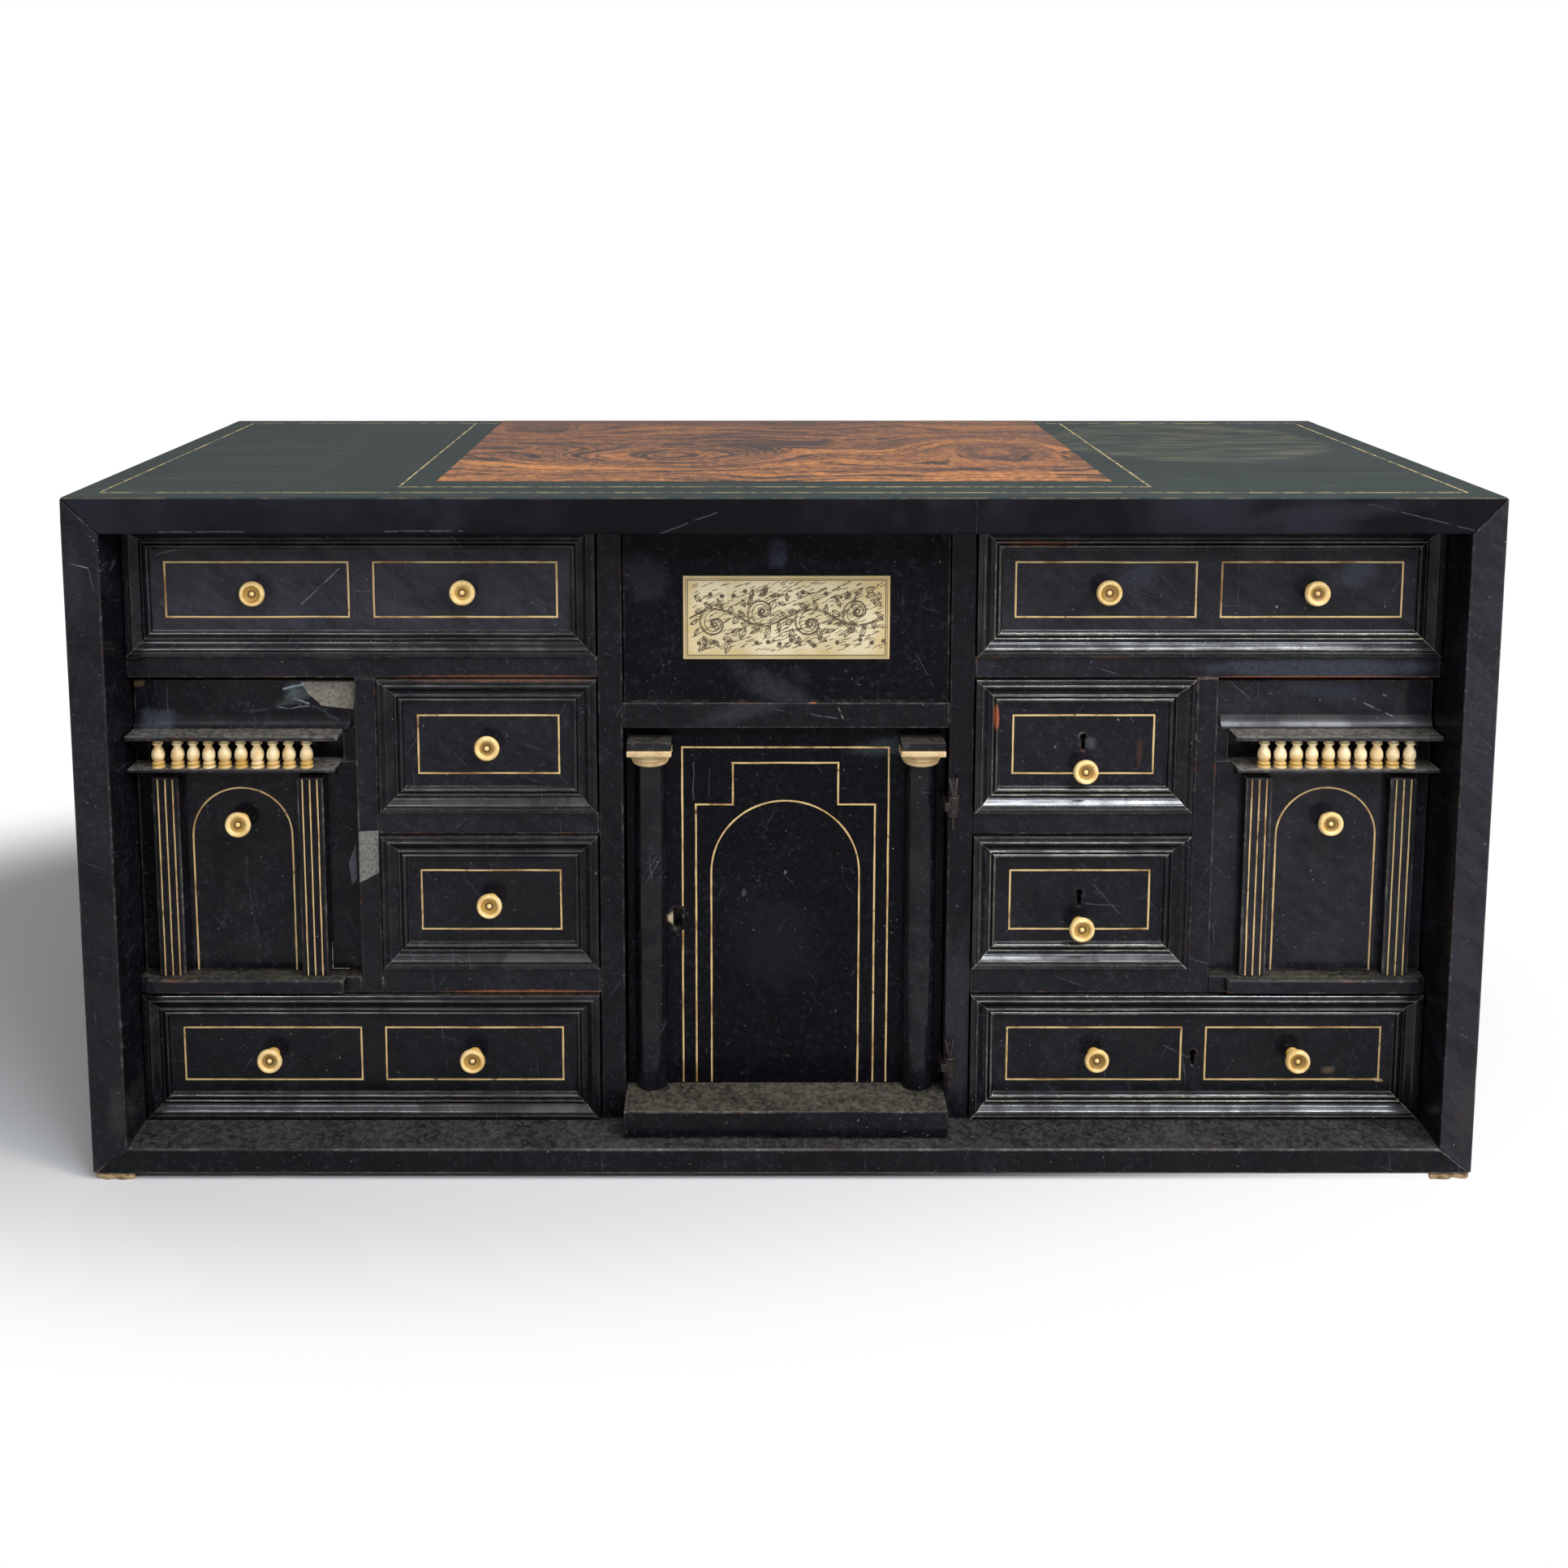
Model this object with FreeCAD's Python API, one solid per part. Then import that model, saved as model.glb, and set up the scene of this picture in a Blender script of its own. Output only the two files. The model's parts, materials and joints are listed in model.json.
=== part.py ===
"""A low table cabinet: banks of moulded drawers either side of a columned centre door.

All sizes are in millimetres. X runs to the right, Y to the back and Z up. The origin is the middle
of the footprint, on the surface that the cabinet's four pads stand on.
"""
import FreeCAD, Part
import math
import os
from collections import namedtuple

V = FreeCAD.Vector
UP = V(0, 0, 1)
RIGHT = V(1, 0, 0)
INWARD = V(0, 1, 0)
OUTWARD = V(0, -1, 0)

# Case: outside sizes and board thicknesses
case_width = 880.0
case_depth = 360.0
case_height = 438.0
left_side_thick = 22.7
right_side_thick = 21.0
top_thick = 22.8
base_thick = 17.0
back_thick = 8.0
pad_size = 27.0
pad_height = 4.5
pad_corner_cut = 7.0

# Inside framing: how far it stands back, and its board thicknesses
divider_recess = 36.0
centre_bay_offset = 2.6
partition_thick = 15.8
upright_thick = 14.0
outer_board_thick = 11.3
inner_board_thick = 17.0
middle_board_thick = 14.4
upper_board_thick = 13.7
rail_thick = 17.0

# Widths of the openings, as shares of the clear width inside the case
centre_bay_share = 0.2497
small_bay_share = 0.1691

# Heights of the openings, as shares of the clear height inside the case
low_drawer_share = 0.2185
small_low_share = 0.2275
high_drawer_share = 0.2167
frieze_share = 0.2918

# Sill in front of the centre door
door_sill_height = 18.5
door_sill_recess = 12.0
door_sill_depth = 50.0

# Ledge under the arcaded drawers
ledge_projection = 6.0
ledge_height = 9.6
ledge_outer_gap = 5.0
ledge_inner_gap = 10.5
ledge_nose = 1.6

# Inlaid lines and veneer
line_width = 1.7
inlay_depth = 1.2
top_border_inset = 18.0
veneer_width = 434.0
veneer_front_inset = 60.0
veneer_offset = -5.0
veneer_thick = 1.5
veneer_line_gap = 19.5
veneer_line_front_inset = 38.6

# Running gaps
front_gap = 0.8
seat_gap = 0.3
head_gap = 1.0
stop_gap = 6.0

# Drawer fronts, boxes and applied mouldings
front_thick = 9.0
field_recess = 4.0
moulding_width = 16.7
moulding_height = 6.5
box_side_thick = 7.0
box_bottom_thick = 5.0
box_head_gap = 4.0
line_margin = 7.5
line_gap = 15.0

# Turned knobs
knob_diameter = 16.6
knob_projection = 14.5
peg_radius = 2.5
peg_sides = 8
knob_sides = 14
peg_length = 7.0
low_knob_rise = 4.6

# Keyholes and the locks behind them
keyhole_radius = 2.4
keyhole_slot_width = 2.6
keyhole_slot_length = 6.5
keyhole_rise = 4.5
keyhole_facets = 7
keyhole_opening = math.radians(32)
lock_width = 34.0
lock_height = 24.0
lock_thick = 6.0
bolt_width = 10.0
bolt_length = 5.0

# Frieze drawer and its plaque
plaque_share = 0.6274
plaque_height = 54.0
plaque_thick = 2.0
plaque_proud = 0.8
plaque_drop = 2.2

# Arcaded drawers: two shelves with a row of balusters over an arched panel between pilasters
temple_face_recess = 8.0
temple_front_thick = 11.0
temple_shift = 4.4
upper_shelf_drop = 33.5
upper_shelf_thick = 3.3
upper_shelf_projection = 21.0
upper_shelf_end = 7.5
lower_shelf_thick = 2.6
lower_shelf_projection = 18.0
lower_shelf_end = 10.5
gallery_height = 19.0
gallery_pocket_depth = 7.0
gallery_margin = 9.0
bed_height = 7.0
bed_projection = 10.0
bed_end = 13.5
pilaster_width = 17.0
pilaster_thick = 8.0
pilaster_line_pitch = 4.75
baluster_count = 10
baluster_setback = 4.8
baluster_sides = 12
temple_arch_gap = 8.4
temple_knob_gap = 30.1

# Places and widths on an arcaded front, as shares of the tall opening's width
pilaster_share = 0.3255
temple_arch_share = 0.2294
baluster_pitch_share = 0.0719
baluster_diameter_share = 0.0617

# Centre door
door_face_recess = 11.0
door_thick = 13.0
door_closing_gap = 1.2
door_hinge_gap = 0.8
door_foot_gap = 0.7
door_head_gap = 1.0
door_relief = 2.4
column_diameter = 21.0
capital_head_drop = 12.5
capital_width = 31.0
capital_depth = 17.5
capital_height = 12.6
bowl_facets = 8
abacus_height = 4.6
entablature_height = 5.8
entablature_inset = 1.2
outer_line_drop = 14.6
shoulder_drop = 53.0
step_drop = 25.0
door_arch_drop = 50.4
door_keyhole_drop = 4.6
door_keyhole_radius = 3.8
door_keyhole_length = 8.5
door_lock_width = 40.0
door_lock_height = 52.0
door_lock_thick = 8.0

# Places and widths on the door, as shares of the centre opening's width
column_share = 0.4195
outer_line_share = 0.6466
shoulder_share = 0.5627
step_share = 0.3329
door_arch_share = 0.2337
door_keyhole_share = 0.3376

# Iron staple hinges
hinge_edge = 2.6
hinge_forward = 4.0
pin_radius = 1.3
pin_length = 28.0
spike_width = 3.2
spike_length = 11.0
eye_radius = 3.2
eye_height = 8.0
eye_sides = 12
eye_clearance = 0.1
strap_thick = 2.3
strap_height = 6.0
strap_length = 8.0
upper_hinge_drop = 49.0
lower_hinge_rise = 19.3

# How far a cutting shape runs past what it cuts
overrun = 3.0

# Levels and planes that the pieces share
front_y = -case_depth / 2
back_y = case_depth / 2
stop_y = back_y - back_thick
divider_y = front_y + divider_recess
field_y = divider_y + field_recess
temple_y = divider_y + temple_face_recess
door_y = divider_y + door_face_recess
case_left = -case_width / 2
case_right = case_width / 2
inner_left = case_left + left_side_thick
inner_right = case_right - right_side_thick
base_top = pad_height + base_thick
case_top = pad_height + case_height
ceiling = case_top - top_thick
inside_width = inner_right - inner_left
inside_height = ceiling - base_top
centre_bay_width = inside_width * centre_bay_share
small_bay_width = inside_width * small_bay_share
centre_left = centre_bay_offset - centre_bay_width / 2
centre_right = centre_bay_offset + centre_bay_width / 2
side_bay_width = (inside_width - centre_bay_width) / 2 - partition_thick
tall_bay_width = side_bay_width - small_bay_width - upright_thick
low_opening_top = base_top + inside_height * low_drawer_share
outer_board_top = low_opening_top + outer_board_thick
inner_board_top = low_opening_top + inner_board_thick
middle_board_low = inner_board_top + inside_height * small_low_share
middle_board_top = middle_board_low + middle_board_thick
high_opening_low = ceiling - inside_height * high_drawer_share
upper_board_low = high_opening_low - upper_board_thick
frieze_low = ceiling - inside_height * frieze_share
rail_low = frieze_low - rail_thick
door_sill_top = base_top + door_sill_height
door_low = door_sill_top + door_foot_gap
door_high = rail_low - door_head_gap
hinge_x = centre_right + hinge_edge
hinge_y = divider_y - hinge_forward
plaque_width = centre_bay_width * plaque_share
pilaster_offset = tall_bay_width * pilaster_share
temple_arch_radius = tall_bay_width * temple_arch_share
baluster_pitch = tall_bay_width * baluster_pitch_share
baluster_diameter = tall_bay_width * baluster_diameter_share
column_offset = centre_bay_width * column_share
door_keyhole_x = centre_bay_offset - centre_bay_width * door_keyhole_share
door_keyhole_z = (door_low + door_high) / 2 - door_keyhole_drop

# Section of the applied moulding, from its outer edge to the field, as shares of its width and
# height. A pair of points is an arc through the first to the second.
moulding_shares = (
    (0.0, 1.0),
    (0.15, 1.0),
    (0.15, 0.86),
    ((0.31, 0.79), (0.41, 0.58)),
    ((0.50, 0.40), (0.64, 0.34)),
    (0.64, 0.20),
    (0.70, 0.20),
    (0.74, 0.38),
    (0.83, 0.38),
    (0.88, 0.20),
    (1.0, 0.0),
)

# Outline of a capital's bowl, from shaft to slab, as shares of its spread and its height
bowl_shares = ((0.0, 0.0), (0.10, 0.25), (0.62, 0.62), (1.0, 1.0))

# Turned outlines, from root to tip, as shares of the radius and the length
knob_shares = (
    (0.60, 0.0),
    (0.36, 0.16),
    (0.42, 0.52),
    (1.0, 0.74),
    (0.94, 1.0),
    (0.60, 0.96),
    (0.22, 0.84),
)
peg_shares = ((1.0, 0.0), (1.0, 1.0))
baluster_shares = ((1.0, 0.0), (1.0, 0.12), (0.70, 0.24), (0.97, 0.46), (0.56, 0.86), (0.78, 1.0))

Opening = namedtuple("Opening", "left right low high")
Bay = namedtuple("Bay", "side sign partition_x outer_x")
Drawer = namedtuple("Drawer", "name kind opening sign keyhole")
Levels = namedtuple("Levels", "upper gallery_top lower bed_top bed_low arch_crown knob")


def block(xs, ys, zs):
    """A rectangular board between pairs of X, Y and Z."""
    return Part.makeBox(
        max(xs) - min(xs), max(ys) - min(ys), max(zs) - min(zs), V(min(xs), min(ys), min(zs))
    )


def corners_of(xs, zs):
    """The four corners of a rectangle in X and Z, in order round it from the lower left."""
    return [(xs[0], zs[0]), (xs[1], zs[0]), (xs[1], zs[1]), (xs[0], zs[1])]


def closed_prism(points, travel):
    """The solid that a flat polygon of points sweeps along travel."""
    return Part.Face(Part.makePolygon(list(points) + [points[0]])).extrude(travel)


def fused(shapes):
    """Several overlapping or touching solids as one."""
    whole = shapes[0]
    for shape in shapes[1:]:
        whole = whole.fuse(shape)
    return whole.removeSplitter()


def middle(pair):
    """The value halfway between two."""
    return sum(pair) / len(pair)


def skinned(rings):
    """A closed solid through rings of as many points each, with flat facets between them."""
    faces = [Part.Face(Part.makePolygon(ring + [ring[0]])) for ring in (rings[0], rings[-1])]
    for low, high in zip(rings, rings[1:]):
        for here in range(len(low)):
            ahead = (here + 1) % len(low)
            corners = [low[here], low[ahead], high[ahead], high[here], low[here]]
            faces.append(Part.Face(Part.makePolygon(corners)))
    solid = Part.Solid(Part.Shell(faces))
    if solid.Volume < 0:
        solid.reverse()
    return solid


def turned(shares, radius, length, foot, axis, sides):
    """A small turning on axis from foot, cut as flat facets, with its outline in shares."""
    across = axis.cross(RIGHT)
    rings = []
    for radius_share, length_share in shares:
        centre = foot + axis * (length * length_share)
        ring = []
        for step in range(sides):
            angle = 2 * math.pi * step / sides
            arm = RIGHT * math.cos(angle) + across * math.sin(angle)
            ring.append(centre + arm * (radius * radius_share))
        rings.append(ring)
    return skinned(rings)


def drawer_front_span(opening):
    """The X and Z spans of a drawer front in its opening, with its running gaps."""
    xs = (opening.left + front_gap, opening.right - front_gap)
    zs = (opening.low + seat_gap, opening.high - head_gap)
    return xs, zs


def case_boards():
    """Top, base and two sides, mitred together at the four corners."""
    outer = corners_of((case_left, case_right), (pad_height, case_top))
    inner = corners_of((inner_left, inner_right), (base_top, ceiling))
    boards = []
    for start in range(len(outer)):
        end = (start + 1) % len(outer)
        corners = [outer[start], outer[end], inner[end], inner[start]]
        points = [V(x, front_y, z) for x, z in corners]
        boards.append(closed_prism(points, INWARD * case_depth))
    return boards


def veneer_panel():
    """The figured veneer let into the middle of the top."""
    xs = (veneer_offset - veneer_width / 2, veneer_offset + veneer_width / 2)
    return block(xs, (front_y + veneer_front_inset, back_y), (case_top - veneer_thick, case_top))


def top_lines():
    """Thin strips let into the top: a border, and a frame round the veneer."""
    zs = (case_top - inlay_depth, case_top)
    left = case_left + top_border_inset
    right = case_right - top_border_inset
    near = front_y + top_border_inset
    far = back_y - top_border_inset
    panel_left = veneer_offset - veneer_width / 2
    panel_right = veneer_offset + veneer_width / 2
    frame_left = panel_left - veneer_line_gap
    frame_right = panel_right + veneer_line_gap
    frame_near = front_y + veneer_line_front_inset
    between = (near + line_width, far - line_width)
    return [
        block((left, right), (near, near + line_width), zs),
        block((left, left + line_width), between, zs),
        block((right - line_width, right), between, zs),
        block((left, panel_left), (far - line_width, far), zs),
        block((panel_right, right), (far - line_width, far), zs),
        block((frame_left, frame_right), (frame_near, frame_near + line_width), zs),
        block((frame_left, frame_left + line_width), (frame_near + line_width, far - line_width), zs),
        block((frame_right - line_width, frame_right), (frame_near + line_width, far - line_width), zs),
    ]


def stands_upright(edge):
    """Whether a straight edge runs up rather than across."""
    spans = edge.BoundBox
    return spans.ZLength > spans.XLength + spans.YLength


def foot_pads():
    """Four pads with cut corners under the corners of the case."""
    pads = []
    for x in (case_left, case_right - pad_size):
        for y in (front_y, back_y - pad_size):
            pad = block((x, x + pad_size), (y, y + pad_size), (0, pad_height))
            uprights = [edge for edge in pad.Edges if stands_upright(edge)]
            pads.append(pad.makeChamfer(pad_corner_cut, uprights))
    return pads


def back_panel():
    """The thin board that closes the back, flush with the rear edges of the case."""
    return block((inner_left, inner_right), (stop_y, back_y), (base_top, ceiling))


def partition(xs):
    """A full-height board between the centre bay and a side bay."""
    return block(xs, (divider_y, stop_y), (base_top, ceiling))


def centre_rail():
    """The board between the frieze drawer and the door."""
    return block((centre_left, centre_right), (divider_y, stop_y), (rail_low, frieze_low))


def door_sill():
    """The deep step in front of the door, with a rounded upper front edge."""
    low_y = front_y + door_sill_recess
    high_y = low_y + door_sill_depth
    points = [
        V(centre_left, low_y + ledge_nose, door_sill_top),
        V(centre_left, high_y, door_sill_top),
        V(centre_left, high_y, base_top),
        V(centre_left, low_y, base_top),
        V(centre_left, low_y, door_sill_top - ledge_nose),
    ]
    return closed_prism(points, RIGHT * centre_bay_width)


def small_bay_edges(bay):
    """The X of the upright's inner and outer faces in a side bay."""
    inner = bay.partition_x + bay.sign * small_bay_width
    return inner, inner + bay.sign * upright_thick


def bay_dividers(bay):
    """The boards and the upright that divide a side bay into four drawer openings."""
    inner, outer = small_bay_edges(bay)
    depth = (divider_y, stop_y)
    small = (bay.partition_x, inner)
    tall = (outer, bay.outer_x)
    ledge_xs = (outer + bay.sign * ledge_inner_gap, bay.outer_x - bay.sign * ledge_outer_gap)
    ledge_y = divider_y - ledge_projection
    ledge_x = min(ledge_xs)
    ledge_points = [
        V(ledge_x, divider_y, outer_board_top),
        V(ledge_x, ledge_y + ledge_nose, outer_board_top),
        V(ledge_x, ledge_y, outer_board_top - ledge_nose),
        V(ledge_x, ledge_y, outer_board_top - ledge_height),
        V(ledge_x, divider_y, outer_board_top - ledge_height),
    ]
    return [
        block((bay.partition_x, bay.outer_x), depth, (upper_board_low, high_opening_low)),
        block((inner, outer), depth, (low_opening_top, upper_board_low)),
        block(small, depth, (middle_board_low, middle_board_top)),
        block(small, depth, (low_opening_top, inner_board_top)),
        block(tall, depth, (low_opening_top, outer_board_top)),
        closed_prism(ledge_points, RIGHT * (max(ledge_xs) - ledge_x)),
    ]


def moulding_face(along, across, corner):
    """The moulding's section, starting at corner, with its width across and its height outward."""
    def place(width_share, height_share):
        sideways = across * (moulding_width * width_share)
        return corner + sideways + OUTWARD * (moulding_height * height_share)
    here = place(0, 0)
    first = here
    edges = []
    for entry in moulding_shares:
        if isinstance(entry[0], tuple):
            bend, there = place(*entry[0]), place(*entry[1])
            edges.append(Part.Arc(here, bend, there).toShape())
        else:
            there = place(*entry)
            edges.append(Part.makeLine(here, there))
        here = there
    edges.append(Part.makeLine(here, first))
    return Part.Face(Part.Wire(edges)).extrude(along)


def mitred_moulding(xs, zs, face_y):
    """Four strips of moulding round a drawer front, mitred at the corners."""
    corners = [V(x, face_y, z) for x, z in corners_of(xs, zs)]
    turns = [UP, RIGHT * -1, UP * -1, RIGHT]
    strips = []
    for start, across in enumerate(turns):
        low, high = corners[start], corners[(start + 1) % len(corners)]
        ahead = (high - low).normalize()
        straight = moulding_face(high - low, across, low)
        cut_back = (across + ahead) * moulding_width
        cut_ahead = (across - ahead) * moulding_width
        outline = [low, high, high + cut_ahead, low + cut_back]
        lifted = [point + INWARD * overrun for point in outline]
        wedge = closed_prism(lifted, OUTWARD * (moulding_height + overrun + overrun))
        strips.append(straight.common(wedge))
    return strips


def line_frames(drawer):
    """The X and Z spans of the inlaid rectangles on a drawer front."""
    xs, zs = drawer_front_span(drawer.opening)
    inset = moulding_width + line_margin
    left, right = xs[0] + inset, xs[1] - inset
    low, high = zs[0] + inset, zs[1] - inset
    if drawer.kind == "small":
        return [((left, right), (low, high))]
    centre = middle((left, right))
    return [
        ((left, centre - line_gap / 2), (low, high)),
        ((centre + line_gap / 2, right), (low, high)),
    ]


def inlaid_frame(xs, zs, face_y):
    """One thin rectangular line let flush into a face."""
    ys = (face_y, face_y + inlay_depth)
    inner_xs = (xs[0] + line_width, xs[1] - line_width)
    inner_zs = (zs[0] + line_width, zs[1] - line_width)
    inner_ys = (face_y - overrun, face_y + inlay_depth + overrun)
    return block(xs, ys, zs).cut(block(inner_xs, inner_ys, inner_zs))


def line_outline(points, face_y):
    """A flat line of any polygon outline, given in X and Z, let flush into a face."""
    return closed_prism([V(x, face_y, z) for x, z in points], INWARD * inlay_depth)


def arched_line(centre, radius, crown, foot, face_y):
    """A round-headed line let flush into a face: two legs and a half ring."""
    spring = crown - radius
    slim = radius - line_width

    def at(x, z):
        return V(x, face_y, z)

    outer = [at(centre - radius, spring), at(centre, crown), at(centre + radius, spring)]
    inner = [at(centre + slim, spring), at(centre, spring + slim), at(centre - slim, spring)]
    feet = [at(centre + side, foot) for side in (-radius, radius, slim, -slim)]
    edges = [
        Part.makeLine(feet[0], outer[0]),
        Part.Arc(*outer).toShape(),
        Part.makeLine(outer[-1], feet[1]),
        Part.makeLine(feet[1], feet[2]),
        Part.makeLine(feet[2], inner[0]),
        Part.Arc(*inner).toShape(),
        Part.makeLine(inner[-1], feet[3]),
        Part.makeLine(feet[3], feet[0]),
    ]
    return Part.Face(Part.Wire(edges)).extrude(INWARD * inlay_depth)


def knob(x, z, face_y):
    """A turned knob standing on a face, with its peg in the board."""
    head = turned(knob_shares, knob_diameter / 2, knob_projection, V(x, face_y, z), OUTWARD, knob_sides)
    return head.fuse(peg(x, z, face_y))


def peg(x, z, face_y):
    """The straight peg of a knob, which fills its hole in the board."""
    return turned(peg_shares, peg_radius, peg_length, V(x, face_y, z), INWARD, peg_sides)


def keyhole(x, z, face_y, radius, slot, length):
    """The cutting shape of a keyhole: a round head, cut as facets, over a slot."""
    depth = front_thick + door_thick
    near = face_y - overrun
    turn = (2 * math.pi - 2 * keyhole_opening) / keyhole_facets
    angles = [keyhole_opening - math.pi / 2 + turn * step for step in range(keyhole_facets + 1)]
    head = [V(x + radius * math.cos(angle), near, z + radius * math.sin(angle)) for angle in angles]
    foot = [V(x - slot / 2, near, z - length), V(x + slot / 2, near, z - length)]
    return closed_prism(head + foot, INWARD * depth)


def drawer_lock(drawer, face_y):
    """The lock on the back of a drawer front, with its bolt standing up from the case."""
    x, z = keyhole_place(drawer)
    xs = (x - lock_width / 2, x + lock_width / 2)
    zs = (z - lock_height / 2, z + lock_height / 2)
    back = (face_y + front_thick, face_y + front_thick + lock_thick)
    bolt = block((x - bolt_width / 2, x + bolt_width / 2), back, (zs[1], zs[1] + bolt_length))
    return fused([block(xs, back, zs), bolt])


def keyhole_place(drawer):
    """The middle of a drawer's keyhole."""
    xs, zs = drawer_front_span(drawer.opening)
    rise = keyhole_rise if drawer.kind == "small" else 0
    return middle(xs), middle(zs) + rise


def knob_places(drawer):
    """Where the knobs stand on a drawer front."""
    if drawer.kind == "temple":
        return [(temple_centre(drawer), temple_levels(drawer).knob)]
    places = []
    for xs, zs in line_frames(drawer):
        low_knob = drawer.keyhole and drawer.kind == "small"
        places.append((middle(xs), zs[0] + low_knob_rise if low_knob else middle(zs)))
    return places


def drawer_box(drawer, face_y, thick):
    """The two sides, back and bottom of a drawer, behind its front board."""
    xs, zs = drawer_front_span(drawer.opening)
    near = face_y + thick
    far = stop_y - stop_gap
    high = zs[1] - box_head_gap
    floor = zs[0] + box_bottom_thick
    inner = (xs[0] + box_side_thick, xs[1] - box_side_thick)
    return [
        block((xs[0], inner[0]), (near, far), (floor, high)),
        block((inner[1], xs[1]), (near, far), (floor, high)),
        block(inner, (far - box_side_thick, far), (floor, high)),
        block(xs, (near, far), (zs[0], floor)),
    ]


def moulded_drawer(drawer):
    """A drawer with a mitred moulding, inlaid rectangles and turned knobs."""
    xs, zs = drawer_front_span(drawer.opening)
    board = block(xs, (field_y, field_y + front_thick), zs)
    frames = [inlaid_frame(frame_xs, frame_zs, field_y) for frame_xs, frame_zs in line_frames(drawer)]
    places = knob_places(drawer)
    knobs = [knob(x, z, field_y) for x, z in places]
    for shape in frames + [peg(x, z, field_y) for x, z in places]:
        board = board.cut(shape)
    pieces = {}
    if drawer.keyhole:
        x, z = keyhole_place(drawer)
        board = board.cut(keyhole(x, z, field_y, keyhole_radius, keyhole_slot_width, keyhole_slot_length))
        pieces["lock"] = [drawer_lock(drawer, field_y)]
    pieces["front"] = [board] + mitred_moulding(xs, zs, field_y)
    pieces["box"] = drawer_box(drawer, field_y, front_thick)
    pieces["bone"] = frames + knobs
    return pieces


def temple_centre(drawer):
    """The X of the arch and knob of an arcaded drawer."""
    return middle((drawer.opening.left, drawer.opening.right)) + drawer.sign * temple_shift


def temple_levels(drawer):
    """The heights of the parts of an arcaded front, from its upper shelf down to its knob."""
    upper = drawer_front_span(drawer.opening)[1][1] - upper_shelf_drop
    ceiling_of_gallery = upper - upper_shelf_thick
    lower = ceiling_of_gallery - gallery_height
    bed_top = lower - lower_shelf_thick
    bed_low = bed_top - bed_height
    return Levels(upper, ceiling_of_gallery, lower, bed_top, bed_low, bed_low - temple_arch_gap,
                  bed_low - temple_knob_gap)


def nosed_shelf(xs, high, thick, projection):
    """A thin shelf with a rounded front edge, standing out of an arcaded front."""
    x = min(xs)
    near = temple_y - projection
    half = thick / 2
    nose = [V(x, near + half, high), V(x, near, high - half), V(x, near + half, high - thick)]
    back = [V(x, temple_y, high - thick), V(x, temple_y, high)]
    edges = [
        Part.Arc(*nose).toShape(),
        Part.makeLine(nose[-1], back[0]),
        Part.makeLine(back[0], back[1]),
        Part.makeLine(back[1], nose[0]),
    ]
    return Part.Face(Part.Wire(edges)).extrude(RIGHT * (max(xs) - x))


def bed_moulding(xs, high):
    """A hollow moulding under the lower shelf."""
    x = min(xs)
    near = temple_y - bed_projection
    lip = bed_height / 4
    low = high - bed_height
    edges = [
        Part.makeLine(V(x, temple_y, high), V(x, near, high)),
        Part.makeLine(V(x, near, high), V(x, near, high - lip)),
        Part.Arc(V(x, near, high - lip), V(x, middle((near, temple_y)), high - lip - lip),
                 V(x, temple_y - lip, low)).toShape(),
        Part.makeLine(V(x, temple_y - lip, low), V(x, temple_y, low)),
        Part.makeLine(V(x, temple_y, low), V(x, temple_y, high)),
    ]
    return Part.Face(Part.Wire(edges)).extrude(RIGHT * (max(xs) - x))


def temple_pilasters(drawer):
    """Two pilasters, each with three upright lines let into its face, and those lines."""
    foot = drawer_front_span(drawer.opening)[1][0]
    head = temple_levels(drawer).bed_low
    face_y = temple_y - pilaster_thick
    pilasters = []
    strips = []
    for side in (-pilaster_offset, pilaster_offset):
        centre = temple_centre(drawer) + side
        sides = (centre - pilaster_width / 2, centre + pilaster_width / 2)
        pilaster = block(sides, (face_y, temple_y), (foot, head))
        for place in (-pilaster_line_pitch, 0, pilaster_line_pitch):
            xs = (centre + place - line_width / 2, centre + place + line_width / 2)
            strip = block(xs, (face_y, face_y + inlay_depth), (foot, head))
            pilaster = pilaster.cut(strip)
            strips.append(strip)
        pilasters.append(pilaster)
    return pilasters, strips


def temple_shelves(drawer):
    """The two shelves of the gallery and the moulding under the lower one."""
    xs, _ = drawer_front_span(drawer.opening)
    outer_x, inner_x = xs if drawer.sign < 0 else xs[::-1]
    levels = temple_levels(drawer)
    ends = [inner_x + drawer.sign * end for end in (upper_shelf_end, lower_shelf_end, bed_end)]
    return [
        nosed_shelf((outer_x, ends[0]), levels.upper, upper_shelf_thick, upper_shelf_projection),
        nosed_shelf((outer_x, ends[1]), levels.lower, lower_shelf_thick, lower_shelf_projection),
        bed_moulding((outer_x, ends[2]), levels.bed_top),
    ]


def balusters(drawer):
    """The row of turned balusters between the two shelves."""
    levels = temple_levels(drawer)
    y = temple_y - lower_shelf_projection + baluster_setback
    first = temple_centre(drawer) - baluster_pitch * (baluster_count - 1) / 2
    return [
        turned(baluster_shares, baluster_diameter / 2, gallery_height,
               V(first + baluster_pitch * step, y, levels.lower), UP, baluster_sides)
        for step in range(baluster_count)
    ]


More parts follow.
